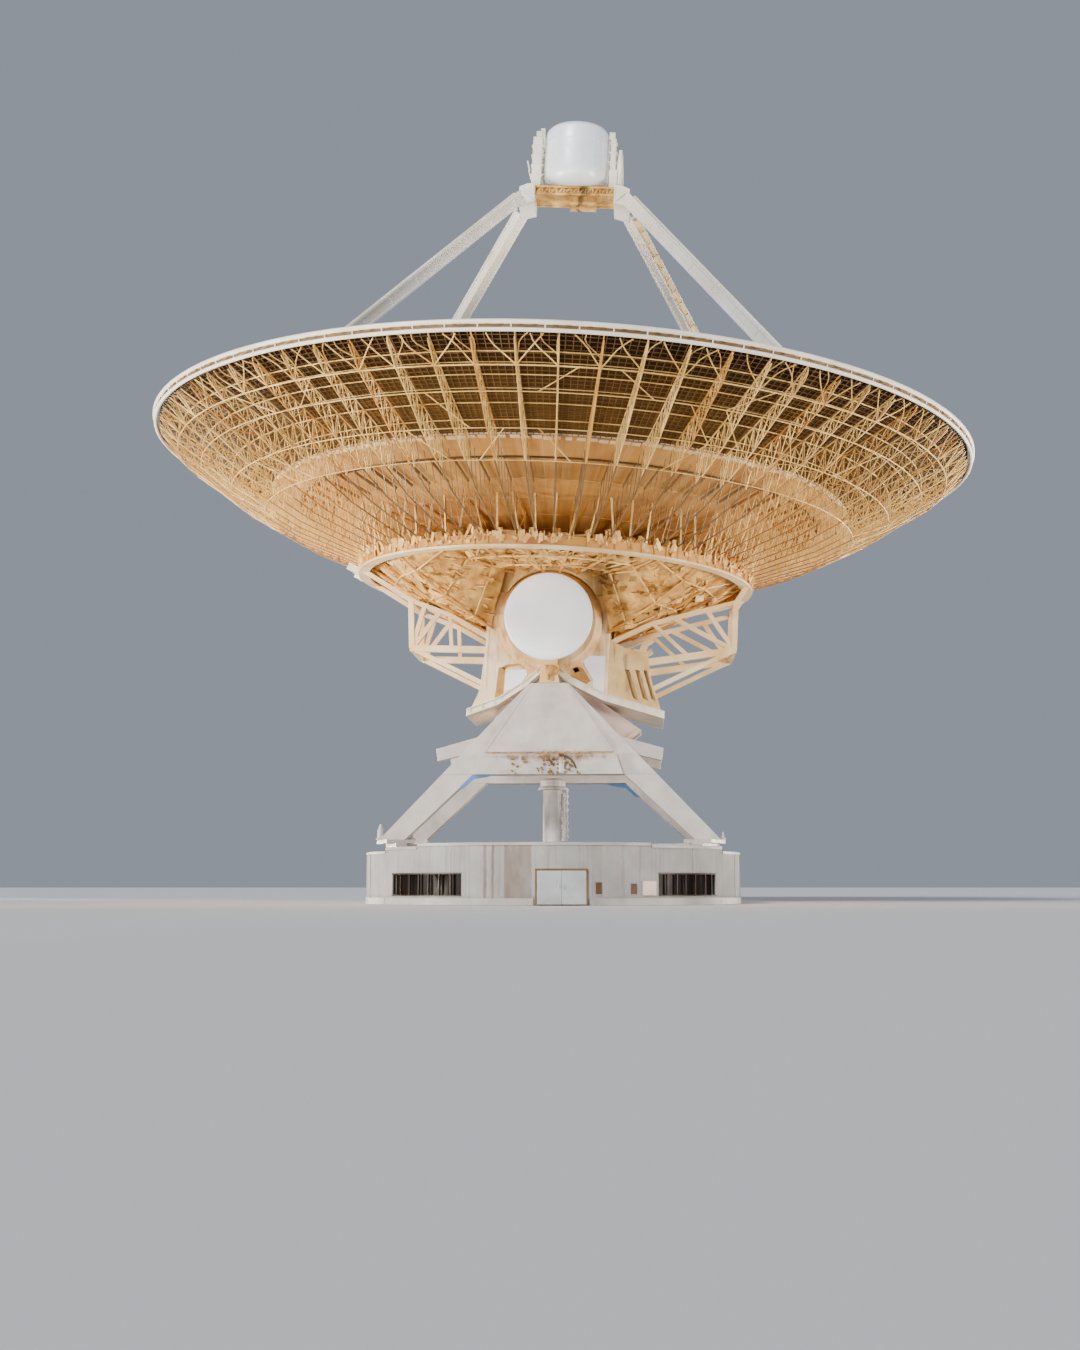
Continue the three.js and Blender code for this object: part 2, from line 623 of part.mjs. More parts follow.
// The box between the two A-frames, its trunnions and its front and rear collars.
function centralBox() {
  const lowest = BOX_LEFT_SIDE[3][1];
  const outline = [...BOX_LEFT_SIDE, [BOX_RIGHT, lowest], [BOX_RIGHT, BOX_TOP]];
  const body = prismY(outline, [-BOX_HALF_Y, BOX_HALF_Y]);
  const shaft = latheY(disc(TRUNNION_R, -TRUNNION_END, TRUNNION_END), BORE_FLATS);
  const collars = [-1, 1].map((front) => {
    const [back, edge, face] = COLLAR_Y.map((y) => front * y);
    return latheY([[0, back], [COLLAR_R1, back], [COLLAR_R1, edge], [COLLAR_R2, face], [0, face]], 36);
  });
  return cut(join(body, ...collars, shaft), belowChevron());
}

// Everything below the top face of the chevron plate, where the box and the machinery bay end.
function belowChevron() {
  return prismY([[-9, -9], ...CHEVRON.map(([x, z]) => [x, z + CHEVRON_THICK]), [9, -9]], [-4, 4]);
}

// The drum that carries the dish, hollowed at front and rear where the collars stand.
function hubDrum() {
  const drum = lathe([
    [0, BOX_TOP + GAP],
    [HUB_R, BOX_TOP + GAP],
    [HUB_R, surface(HUB_R) - SKIN - 3 * GAP],
    [0, VERTEX_Z - SKIN - 3 * GAP],
  ], 48);
  const notches = [-1, 1].map((front) => (
    latheY(disc(COLLAR_R1 + 0.05, front * (COLLAR_Y[0] - 0.02), front * HUB_R), 36)));
  return cut(drum, ...notches);
}

function chevronPlate() {
  const upper = CHEVRON.map(([x, z]) => [x, z + CHEVRON_THICK - GAP]);
  return prismY([...CHEVRON, ...upper.reverse()], [-CHEVRON_HALF_Y, CHEVRON_HALF_Y]);
}

function machineryBay() {
  const outline = [...BAY_TOP, ...[...BAY_FLANK].reverse(), [BOX_RIGHT + GAP, -3.86]];
  const slots = BAY_SLOTS.map(([a, b]) => (
    prismY([[a, -2.4], [b, -2.45], [b + 0.55, -4.1], [a + 0.5, -3.95]], [-3, -2])));
  return cut(prismY(outline, [-BOX_HALF_Y, BOX_HALF_Y]), belowChevron(), ...slots);
}

function gearSector() {
  const [from, to] = SECTOR_ARC;
  const steps = 10;
  const arc = Array.from({ length: steps + 1 }, (_, i) => deg(from + (to - from) * i / steps));
  const lower = arc.map((angle) => [SECTOR_R * Math.cos(angle), SECTOR_R * Math.sin(angle)]);
  const upper = CHEVRON.slice(1, 6).map(([x, z]) => [x, z - GAP]).reverse();
  return prismY([...lower, ...upper], [-SECTOR_HALF_Y, SECTOR_HALF_Y]);
}

// An open frame of box beams at each side, from the box out to the ring girder, in two planes.
// It is trimmed to the ring girder over it and to the flank beside it.
function sideFrame(side, { corner, knee, wall, low }, flank) {
  const planes = [-SIDE_FRAME_Y, SIDE_FRAME_Y];
  const end = [side * (GIRDER_R - 0.05), GIRDER_Z[0] + 0.15];
  const arch = [end, knee, [side * 5.6, 0.2], [side * 3.2, -1.05]];
  const between = (a, b, t) => [a[0] + (b[0] - a[0]) * t, a[1] + (b[1] - a[1]) * t];
  const parts = [];
  for (const y of planes) {
    const strut = (from, to, width, depth) => bar([from[0], y, from[1]], [to[0], y, to[1]], width, depth);
    for (let i = 0; i + 1 < arch.length; i += 1) {
      parts.push(strut(arch[i], arch[i + 1], 0.28, 0.24));
    }
    parts.push(strut(knee, corner, 0.32, 0.3));
    parts.push(strut(corner, wall, 0.34, 0.36));
    parts.push(strut(corner, low, 0.26, 0.24));
    parts.push(strut(corner, between(knee, arch[2], 0.35), 0.24, 0.24));
    parts.push(strut(corner, between(knee, arch[2], 0.75), 0.24, 0.24));
    parts.push(strut(between(corner, wall, 0.5), arch[2], 0.2, 0.2));
  }
  for (const [x, z] of [corner, knee]) {
    parts.push(bar([x, planes[0], z], [x, planes[1], z], 0.26));
  }
  const above = box([-12, 12], [-4, 4], [GIRDER_Z[0] - GAP, 4]);
  const beside = prismY([...flank.map(([x, z]) => [x + side * GAP, z]), [0, -7], [0, 3]], [-4, 4]);
  return cut(join(...parts), above, beside);
}

function buildBox() {
  place(dish, 'central_box', centralBox(), WHITE);
  place(dish, 'chevron_plate', chevronPlate(), WHITE);
  place(dish, 'machinery_bay', machineryBay(), BUFF);
  place(dish, 'gear_sector', gearSector(), CREAM);
  place(dish, 'hub_drum', hubDrum(), BUFF);
  place(dish, 'ring_girder', lathe([
    [GIRDER_R - GIRDER_HALF, GIRDER_Z[0]],
    [GIRDER_R + GIRDER_HALF, GIRDER_Z[0]],
    [GIRDER_R + GIRDER_HALF, GIRDER_Z[1]],
    [GIRDER_R - GIRDER_HALF, GIRDER_Z[1]],
  ], 48), CREAM);
  const leftFlank = [[-HUB_R, 3], ...BOX_LEFT_SIDE.slice(1, 3), [-3.7, -7]];
  place(dish, 'side_frame_left', sideFrame(-1, LEFT_FRAME, leftFlank), CREAM);
  const rightFlank = [
    [BOX_RIGHT, 3],
    [BOX_RIGHT, BAY_TOP[0][1]],
    ...BAY_TOP.slice(1),
    ...[...BAY_FLANK].reverse(),
  ];
  place(dish, 'side_frame_right', sideFrame(1, RIGHT_FRAME, rightFlank), CREAM);
  for (let quarter = 0; quarter < 4; quarter += 1) {
    place(dish, `back_frame_${quarter + 1}`, backFrame(quarter), BUFF);
  }
}

// Four legs from the bowl to the focus cabin, in a pair at each side.
function buildFeed() {
  const head = box([-BRACKET_END - GAP, BRACKET_END + GAP], [-3, 3], [20, 30]);
  const bowl = [24, RIM_R[0], ...[...MESH_BENDS].reverse(), SOLID_R].map((r) => [r, surface(r) + 2 * GAP]);
  const under = lathe([[0, -5], [24, -5], ...bowl, [0, 3]], 2 * RIB_COUNT);
  const corners = [[1, 1], [-1, 1], [-1, -1], [1, -1]];
  corners.forEach(([sideX, sideY], i) => {
    const [footX, footY] = FEED_FOOT;
    const foot = new THREE.Vector3(sideX * footX, sideY * footY, surface(Math.hypot(footX, footY)));
    const top = new THREE.Vector3(sideX * FEED_TOP[0], sideY * FEED_TOP[1], FEED_TOP[2]);
    const along = top.clone().sub(foot).normalize();
    const from = foot.addScaledVector(along, -0.8).toArray();
    const to = top.addScaledVector(along, 1.2).toArray();
    place(dish, `feed_leg_${i + 1}`, cut(bar(from, to, ...FEED_LEG), under, head), WHITE);
  });
  const [halfX, halfY] = CRADLE_HALF;
  const deckZ = CRADLE_Z[1];
  const cradle = box([-halfX, halfX], [-halfY, halfY], [CRADLE_Z[0], deckZ - GAP]);
  // A bracket at each side takes the heads of the two legs on that side.
  const room = box([-BRACKET_END, BRACKET_END], [-3, 3], [20, deckZ - GAP]);
  const brackets = [-1, 1].map((side) => {
    const [rootZ, seatZ] = BRACKET_Z;
    const from = [side * BRACKET_ROOT, 0, rootZ];
    const to = [side * (BRACKET_END + 1), 0, seatZ];
    return common(bar(from, to, 2 * BRACKET_HALF_Y, BRACKET_DEPTH), room);
  });
  const half = CABIN_POST_HALF;
  const posts = CABIN_POSTS.map(([x, y]) => (
    box([x - half, x + half], [y - half, y + half], [deckZ - half, POST_TOP])));
  place(dish, 'cabin_frame', join(cradle, box(...HATCH_BOX), ...brackets, ...posts), CREAM);
  place(dish, 'cabin_drum', lathe([[0, deckZ], ...CABIN_PROFILE], 32), WHITE);
}

buildWalls();
glazing('glazing_left', LEFT_BAY);
glazing('glazing_right', RIGHT_BAY);
buildDoor();
buildFloors();
buildColumn();
place(telescope, 'pintle_frame', pintleFrame(), STEEL);
buildFrame(-1);
buildFrame(1);
buildBox();
buildReflector();
buildFeed();

export default telescope;
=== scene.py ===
"""The looks of a radio telescope dish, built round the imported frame.

Shapes are drawn in real metres: those of the dish in its own leaning frame, with its origin on
the elevation axis, and all others in the ground's frame. Shape.build scales both to the 1:2 model.
"""
import math
import random
from functools import partialmethod

import bpy
import numpy as np
from mathutils import Euler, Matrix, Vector


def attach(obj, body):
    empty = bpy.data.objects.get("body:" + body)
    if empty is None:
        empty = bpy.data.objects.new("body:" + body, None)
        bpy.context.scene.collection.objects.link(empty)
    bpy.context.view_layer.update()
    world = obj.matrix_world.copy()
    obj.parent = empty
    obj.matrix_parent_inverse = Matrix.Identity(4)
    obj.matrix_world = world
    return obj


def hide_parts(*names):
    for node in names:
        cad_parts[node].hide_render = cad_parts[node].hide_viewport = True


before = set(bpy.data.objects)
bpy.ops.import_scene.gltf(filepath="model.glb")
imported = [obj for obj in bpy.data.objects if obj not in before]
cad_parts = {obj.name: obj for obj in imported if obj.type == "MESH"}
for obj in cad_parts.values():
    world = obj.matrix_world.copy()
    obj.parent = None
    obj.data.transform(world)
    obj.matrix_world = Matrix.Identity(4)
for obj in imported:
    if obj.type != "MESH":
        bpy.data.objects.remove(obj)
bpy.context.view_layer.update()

SCALE = 0.5                 # model metres for one real metre
AXIS_Z = 15.34
LEAN = math.radians(3)
TINY = 1e-6
SHARP = math.radians(35)    # edges sharper than this are shaded hard and softened

# Reflector and back structure, in the dish's own frame
VERTEX_Z = 3.68
FOCAL = 20.8
SOLID_R = 16.1
RIM_IN = 22.5
RIM_OUT = 22.86
RIM_LOW = 9.42
RIB_STOPS = (5.2, 7.2, 9.0, 10.8, 12.7, 14.6, 16.5, 18.4, 20.1, 21.4, 22.42)
RIB_END = RIB_STOPS[-1]
MESH_NODE = 16.5            # where the ribs' open part starts, just outside the plated bowl
LAST_NODE = 21.4
TOP_DROP = 0.2              # from the reflecting surface down to the ribs' upper chords
HUB_R = 3.5
GIRDER_R = 10.8
GIRDER_Z = (2.45, 3.0)
CONE_STOPS = (HUB_R, 7.2, GIRDER_R)
DEEP_LOWS = (-0.7, 0.95, 3.08)
SHALLOW_LOWS = (2.62, 2.72, 3.08)
MAIN_STEP = 15              # degrees between main ribs, and between all ribs
RIB_STEP = 5
POST_STEP = 3.75            # degrees between the posts of the rim and the girder's stiffeners
BOX_FRONT = 2.4
FEED_FOOT = (14.95, 12.68)
FEED_TOP = (2.8, 0.72, 25.6)
BRACKET_END = 3.2
DECK_Z = 25.93
CRADLE_LOW = 25.35
POST_TOP = 29.3
HALVES = (("front", 180, 360), ("rear", 0, 180))
SIDES = (("front", -1), ("rear", 1))

# Tower and ring building, in the ground's frame
COVER_R = 2.38
PLATE_Y = 4.3               # outer face of the A-frames' plates, and of their cross boxes
CROSS_Y = 4.5
WALL_R = 10.25
BAY_SILL = 0.47
BAY_HEAD = 1.62
LEFT_BAY = (-51.4, -23.5)
RIGHT_BAY = (34.0, 58.3)

# Camera, from a fit to the photograph
CAMERA_DISTANCE = 89.75
CAMERA_HEIGHT = 0.96
CAMERA_SIDE = math.radians(3.0)
CAMERA_YAW = math.radians(0.463)
CAMERA_PITCH = math.radians(7.476)
FOCAL_PX = 1608
FRAME_HEIGHT_PX = 1350
SENSOR = 36.0


def surface(r):
    """Height of the reflecting surface at a radius."""
    return VERTEX_Z + np.asarray(r, float) ** 2 / (4 * FOCAL)


def lower_chord(r):
    """Height of the back structure's lower chords at a radius."""
    return np.interp(r, [10.8, 14.6, 16.5, 18.4, 20.1, 21.4, 22.5],
                     [3.08, 4.38, 5.35, 6.35, 7.55, 8.35, 9.35])


def polar(r, angle, z):
    """Points of a turned shape, with the angle in degrees."""
    r, angle, z = np.broadcast_arrays(np.asarray(r, float), np.radians(angle), np.asarray(z, float))
    return np.stack([r * np.cos(angle), r * np.sin(angle), z], -1)


def on_bowl(r, angle, drop=0.0):
    """Points at or under the reflecting surface."""
    return polar(r, angle, surface(r) - drop)


def on_chord(r, angle):
    """Points on the ribs' lower chords."""
    return polar(r, angle, lower_chord(r))


def on_girder(angle):
    """Where the braces leave the top of the ring girder."""
    return polar(10.98, angle, 3.1)


def sideways(angle):
    """The level direction across a rib."""
    return polar(1, angle + 90, 0)


def normalised(v):
    return v / np.maximum(np.linalg.norm(v, axis=-1, keepdims=True), 1e-9)


def winding(outline):
    """1 for a closed outline of positive area, else -1."""
    pairs = zip(outline, [*outline[1:], outline[0]])
    return 1 if sum(p[0] * q[1] - q[0] * p[1] for p, q in pairs) > 0 else -1


def sections(along, up, width, depth, sides):
    """Corners of a bar's section round each point: a rectangle for four sides, else a polygon."""
    along = normalised(along)
    up = np.broadcast_to(np.asarray(up, float), along.shape).copy()
    up[np.abs((along * up).sum(-1)) > 0.999] = (1.0, 0.0, 0.0)
    across = normalised(np.cross(up, along))
    top = np.cross(along, across)
    turn = (np.arange(sides) + 0.5) * 2 * math.pi / sides
    grow = 1 / math.cos(math.pi / sides)
    x, y = np.cos(turn) * grow * width / 2, np.sin(turn) * grow * (depth or width) / 2
    return across[:, None] * x[None, :, None] + top[:, None] * y[None, :, None]


class Shape:
    """The vertices and faces of one piece, in real metres."""

    def __init__(self):
        self.points = []
        self.faces = []
        self.count = 0

    def add(self, points, faces):
        points = np.asarray(points, float).reshape(-1, 3)
        self.points.append(points)
        self.faces.extend([i + self.count for i in face] for face in faces)
        self.count += len(points)
        return self

    def bars(self, starts, ends, width, depth=None, sides=4, up=(0, 0, 1)):
        """Straight closed bars between pairs of points."""
        a, b = np.broadcast_arrays(np.atleast_2d(np.asarray(starts, float)),
                                   np.atleast_2d(np.asarray(ends, float)))
        offset = sections(b - a, up, width, depth, sides)
        points = np.concatenate([a[:, None] + offset, b[:, None] + offset], 1)
        step = np.arange(sides)
        after = (step + 1) % sides
        quads = np.stack([step, after, after + sides, step + sides], -1)
        caps = np.stack([step[::-1], step + sides])
        base = (np.arange(len(a)) * 2 * sides)[:, None, None]
        faces = (quads[None] + base).reshape(-1, 4).tolist()
        return self.add(points, faces + (caps[None] + base).reshape(-1, sides).tolist())

    def sweep(self, path, width, depth=None, sides=4, up=(0, 0, 1)):
        """A bar that bends through the points of a path."""
        path = np.asarray(path, float)
        offset = sections(np.gradient(path, axis=0), up, width, depth, sides)
        step = np.arange(sides)
        after = (step + 1) % sides
        last = (len(path) - 1) * sides
        faces = []
        for here in range(0, last, sides):
            ring = [here + step, here + after, here + sides + after, here + sides + step]
            faces += np.stack(ring, -1).tolist()
        faces += [step[::-1].tolist(), (step + last).tolist()]
        return self.add(path[:, None] + offset, faces)

    def lathe(self, profile, segments, axis="z", centre=(0, 0, 0), span=(0, 360)):
        """A closed profile of (radius, height) points turned about an axis."""
        full = span[1] - span[0] >= 360
        angles = np.radians(np.linspace(*span, segments + (not full), endpoint=not full))
        way = winding(profile)
        rings, points, count = [], [], 0
        for r, z in profile:
            pole = full and r < TINY
            here = angles[:1] if pole else angles
            rings.append([count] * segments if pole else list(range(count, count + len(here))))
            points.append(np.stack([r * np.cos(here), r * np.sin(here), np.full(len(here), z)], -1))
            count += len(here)
        faces = []
        for i, (low, high) in enumerate(zip(rings, rings[1:] + rings[:1])):
            if profile[i][0] < TINY and profile[(i + 1) % len(profile)][0] < TINY:
                continue
            for j in range(segments):
                k = (j + 1) % len(angles)
                faces.append(list(dict.fromkeys([low[j], low[k], high[k], high[j]]))[::way])
        if not full:
            faces += [[ring[0] for ring in rings][::way], [ring[-1] for ring in rings][::-way]]
        points = np.concatenate(points)
        if axis == "y":
            points = points[:, [0, 2, 1]] * (1, 1, -1)
        return self.add(points + np.asarray(centre, float), faces)

    def prism(self, outline, y):
        """An outline of (x, z) points drawn out between two values of y."""
        n = len(outline)
        outline = list(outline)[::winding(outline)]
        points = [(x, side, z) for side in sorted(y) for x, z in outline]
        faces = [list(range(n)), list(range(2 * n - 1, n - 1, -1))]
        faces += [[(i + 1) % n, i, n + i, n + (i + 1) % n] for i in range(n)]
        return self.add(points, faces)

    def box(self, x, y, z):
        return self.prism([(x[0], z[0]), (x[1], z[0]), (x[1], z[1]), (x[0], z[1])], y)

    def patch(self, radii, angles, heights, thick=0.04):
        """A thin plate over a patch of the turned shape, with a height per radius and angle."""
        rows, columns = len(radii), len(angles)
        top = polar(np.asarray(radii, float)[:, None], angles, heights)
        size = rows * columns
        index = np.arange(size).reshape(rows, columns)
        faces = []
        for a in index[:-1, :-1].ravel().tolist():
            quad = [a, a + columns, a + columns + 1, a + 1]
            faces += [quad, [i + size for i in quad[::-1]]]
        edge = np.concatenate([index[0, ::-1], index[1:, 0], index[-1, 1:], index[-2:0:-1, -1]])
        for a, b in zip(edge.tolist(), np.roll(edge, -1).tolist()):
            faces.append([a, a + size, b + size, b])
        return self.add(np.stack([top, top - (0, 0, thick)]), faces)

    def wall_strip(self, start, stop, low, high, out, inside=0.002):
        """A band of the ring wall between two bearings, two heights and two skins."""
        count = max(2, int(abs(stop - start) / 2.5) + 1)
        angles = np.linspace(start, stop, count) - 90
        inner, outer = WALL_R + inside, WALL_R + out
        corners = ((inner, low), (outer, low), (outer, high), (inner, high))
        rows = [polar(r, angles, z) for r, z in corners]
        faces = []
        for k in range(4):
            for a in range(k * count, (k + 1) * count - 1):
                b = (a + count) % (4 * count)
                faces.append([a, b, b + 1, a + 1])
        ends = [3 * count, 2 * count, count, 0]
        return self.add(np.concatenate(rows), faces + [ends, [i + count - 1 for i in ends[::-1]]])

    def build(self, name, look, slot, nodes=(), body="dish", bevel=0.0):
        """Makes the object, in model metres, hangs it from its body's empty, and hides the solids
        it stands in for.
        """
        points = np.concatenate(self.points) * SCALE
        if body == "dish":
            c, s = math.cos(LEAN), math.sin(LEAN)
            points = points @ np.array([[c, 0, -s], [0, 1, 0], [s, 0, c]]) + (0, 0, AXIS_Z * SCALE)
        mesh = bpy.data.meshes.new(name)
        mesh.from_pydata(points.tolist(), [], self.faces)
        mesh.update()
        item = bpy.data.objects.new(name, mesh)
        bpy.context.scene.collection.objects.link(item)
        mesh.materials.append(LOOKS[look])
        mesh.polygons.foreach_set("use_smooth", [True] * len(mesh.polygons))
        mesh.set_sharp_from_angle(angle=SHARP)
        if bevel:
            soften(item, bevel)
        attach(item, body)
        if nodes:
            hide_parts(*nodes)


def soften(item, width):
    """Rounds the sharp edges of an object by a width in model metres."""
    modifier = item.modifiers.new("soften", "BEVEL")
    modifier.width = width
    modifier.segments = 2
    modifier.limit_method = "ANGLE"
    modifier.angle_limit = SHARP


def linear(colour):
    """A colour such as 0xE9E7E4 as linear red, green and blue. Others are passed through."""
    if not isinstance(colour, int):
        return colour
    parts = [(colour >> shift & 255) / 255 for shift in (16, 8, 0)]
    return tuple(v / 12.92 if v <= 0.04045 else ((v + 0.055) / 1.055) ** 2.4 for v in parts)


class Look:
    """One procedural material, with helpers for its nodes."""

    def __init__(self, name, metallic=0.0, alpha=1.0):
        self.material = bpy.data.materials.new(name)
        self.material.use_nodes = True
        self.tree = self.material.node_tree
        self.shader = self.tree.nodes["Principled BSDF"]
        self.shader.inputs["Metallic"].default_value = metallic
        self.shader.inputs["Alpha"].default_value = alpha
        self.place = self.tree.nodes.new("ShaderNodeTexCoord").outputs["Object"]

    def join(self, value, socket):
        """Links a socket to an input, or sets the input to a plain value."""
        if isinstance(value, bpy.types.NodeSocket):
            self.tree.links.new(value, socket)
        else:
            socket.default_value = value

    def node(self, kind, inputs, **settings):
        made = self.tree.nodes.new("ShaderNode" + kind)
        for key, value in settings.items():
            setattr(made, key, value)
        for key, value in inputs.items():
            self.join(value, made.inputs[key])
        return made

    def operate(self, operation, a, b=0.0):
        return self.node("Math", {0: a, 1: b}, operation=operation).outputs[0]

    plus = partialmethod(operate, "ADD")
    minus = partialmethod(operate, "SUBTRACT")
    times = partialmethod(operate, "MULTIPLY")
    over = partialmethod(operate, "DIVIDE")
    most = partialmethod(operate, "MAXIMUM")
    least = partialmethod(operate, "MINIMUM")
    size = partialmethod(operate, "ABSOLUTE")

    def split(self, vector):
        """The three parts of a vector."""
        return self.node("SeparateXYZ", {0: vector}).outputs

    def band(self, value, start, stop, soft):
        """1 between two values and 0 outside, with soft ends."""
        rise = self.over(self.minus(value, start), soft)
        fall = self.over(self.minus(stop, value), soft)
        return self.least(self.most(self.least(rise, fall), 0.0), 1.0)

    def noise(self, scale, detail, stretch=(1, 1, 1), source=None, roughness=0.55):
        """Noise in the object's coordinates or a source's, finer along a stretched axis."""
        where = self.node("Mapping", {"Vector": source or self.place, "Scale": stretch}).outputs[0]
        inputs = {"Vector": where, "Scale": scale, "Detail": detail, "Roughness": roughness}
        return self.node("TexNoise", inputs).outputs[0]

    def ramp(self, factor, stops):
        """A colour ramp over (position, colour or grey) stops."""
        made = self.node("ValToRGB", {"Fac": factor})
        for element, (position, value) in zip(made.color_ramp.elements, stops):
            element.position = position
            value = linear(value)
            element.color = (*value, 1) if isinstance(value, tuple) else (value, value, value, 1)
        return made.outputs[0]

    def fade(self, factor, low, high, top=1.0, bottom=0.0):
        """A ramp of grey between two positions."""
        return self.ramp(factor, [(low, bottom), (high, top)])

    def patches(self, scale, detail, light, dark, high=0.72):
        """Two shades in uneven patches."""
        return self.ramp(self.noise(scale, detail), [(0.3, light), (high, dark)])

    def mix(self, factor, a, b, blend="MIX"):
        """Colour a, changed to b by a factor."""
        made = self.node("Mix", {}, data_type="RGBA", blend_type=blend)
        self.join(factor, made.inputs[0])
        for value, socket in ((a, made.inputs[6]), (b, made.inputs[7])):
            self.join((*linear(value), 1) if isinstance(value, int) else value, socket)
        return made.outputs[2]

    def dish_place(self):
        """The distance from the dish's own axis, and the place in its frame, in model metres."""
        moved = self.node("VectorMath", {0: self.place, 1: (0, 0, -AXIS_Z * SCALE)}).outputs[0]
        inputs = {"Vector": moved, "Angle": -LEAN}
        own = self.node("VectorRotate", inputs, rotation_type="Y_AXIS").outputs[0]
        flat = self.node("VectorMath", {0: own, 1: (1, 1, 0)}, operation="MULTIPLY").outputs[0]
        return self.length(flat), own

    def length(self, vector):
        return self.node("VectorMath", {0: vector}, operation="LENGTH").outputs["Value"]

    def dish_panels(self, radius, own, row, seam):
        """Where a point lies round and along the dish, and panels laid out that way with seams."""
        x, y, _ = self.split(own)
        round_about = self.times(self.operate("ARCTAN2", y, x), 14.0)
        place = self.node("CombineXYZ", {0: round_about, 1: radius}).outputs[0]
        panels = self.node("TexBrick", {
            "Vector": place, "Scale": 1.0, "Mortar Size": seam, "Mortar Smooth": 0.2, "Bias": 0.0,
            "Brick Width": 14.0 * math.pi / 24, "Row Height": row, "Mortar": (0, 0, 0, 1),
            "Color1": (0.42, 0.42, 0.42, 1), "Color2": (0.62, 0.62, 0.62, 1)}, offset=0.0)
        return place, panels.outputs

    def finish(self, colour, roughness, bump=None, strength=0.12, distance=0.004):
        """Joins the colour, roughness and bump to the shader, and returns the material."""
        self.join(colour, self.shader.inputs["Base Color"])
        self.join(roughness, self.shader.inputs["Roughness"])
        if bump:
            inputs = {"Height": self.noise(*bump), "Strength": strength, "Distance": distance}
            self.join(self.node("Bump", inputs).outputs[0], self.shader.inputs["Normal"])
        return self.material


def weathered(name, light, dark, stain, stains=0.5, grain=3.0, streak=(1, 1, 0.12),
              rough=(0.4, 0.7), metallic=0.1):
    """Old paint: two shades in patches, stains that run down it, and a fine uneven skin."""
    look = Look(name, metallic)
    runs = look.fade(look.noise(grain * 2.2, 6, streak), 0.56, 0.74)
    spread = look.fade(look.noise(grain * 0.5, 3), 0.62 - 0.3 * stains, 0.95 - 0.3 * stains)
    share = look.times(look.times(runs, spread), min(1.0, 0.4 + stains))
    specks = look.fade(look.noise(grain * 16, 3), 0.7, 0.78)
    share = look.most(share, look.times(look.times(specks, spread), stains))
    colour = look.mix(share, look.patches(grain, 5, light, dark), stain)
    roughness = look.fade(look.plus(share, look.noise(grain * 6, 3)), 0.3, 1.0, rough[1], rough[0])
    return look.finish(colour, roughness, (grain * 20, 4))


def reflector_look(name, light, dark, seam):
    """Painted panels on the bowl, with seams, runs towards the rim and uneven shades."""
    look = Look(name, 0.15)
    place, panels = look.dish_panels(*look.dish_place(), 0.9, 0.012)
    runs = look.fade(look.noise(2.2, 6, (1, 0.16, 1), place), 0.38, 0.72)
    colour = look.mix(look.fade(look.noise(0.8, 5), 0.3, 0.7), light, dark)
    colour = look.mix(look.times(runs, 0.45), colour, seam)
    colour = look.mix(0.35, colour, panels["Color"], "OVERLAY")
    colour = look.mix(look.times(panels["Fac"], 0.7), colour, seam)
    return look.finish(colour, look.fade(look.noise(12, 3), 0.3, 0.8, 0.62, 0.42), (30, 3), 0.08)


def tower_look(name, light, dark, stain):
    """White paint with rust along the foot of the A-frames' plates, most of it in the middle."""
    look = Look(name, 0.05)
    x, _, high = look.split(look.place)
    seep = look.minus(0.75, look.times(look.size(look.minus(high, 3.9)), 1.7))
    middle = look.minus(look.size(look.minus(x, 0.2)), 0.25)
    seep = look.minus(seep, look.times(look.most(middle, 0.0), 0.22))
    mask = look.plus(seep, look.times(look.noise(4.5, 8, (1, 1, 0.6), roughness=0.7), 1.3))
    share = look.fade(look.times(mask, 0.5), 0.53, 0.72, 0.95)
    runs = look.fade(look.noise(3.0, 6, (1, 1, 0.1)), 0.6, 0.8, 0.35)
    share = look.most(share, look.times(runs, look.fade(look.noise(0.7, 3), 0.45, 0.7)))
    colour = look.mix(share, look.patches(1.6, 5, light, dark, 0.75), stain)
    roughness = look.fade(look.plus(share, look.noise(8, 3)), 0.3, 1.0, 0.7, 0.4)
    return look.finish(colour, roughness, (16, 4))


def box_look(name, light, dark, gold, stain):
    """Cream plating with painted gold shade at the bearing and under the bowl, and brown seeps."""
    look = Look(name, 0.1)
    along, _, high = look.split(look.dish_place()[1])
    reach = look.length(look.node("CombineXYZ", {0: along, 2: high}).outputs[0])
    # Painted shade: a golden band round the bearing, and a golden rise towards the top under the
    # bowl.
    ring = look.times(look.size(look.minus(reach, 1.35)), 2.2)
    ring = look.times(look.minus(1.0, ring), 0.38)
    climb = look.times(look.plus(high, 0.5), 0.5)
    mask = look.times(look.noise(2.6, 8, (1, 1, 0.6), roughness=0.65), 0.9)
    mask = look.plus(look.most(ring, climb), mask)
    colour = look.mix(look.fade(mask, 0.5, 0.95, 0.9), look.patches(1.8, 6, light, dark), gold)
    seeps = look.fade(look.noise(5, 6, (1, 1, 0.2)), 0.5, 0.68, 0.8)
    seeps = look.times(seeps, look.fade(look.noise(1.3, 3), 0.42, 0.6))
    colour = look.mix(seeps, colour, stain)
    return look.finish(colour, look.fade(look.noise(7, 3), 0.3, 0.8, 0.7, 0.45), (20, 4), 0.15)


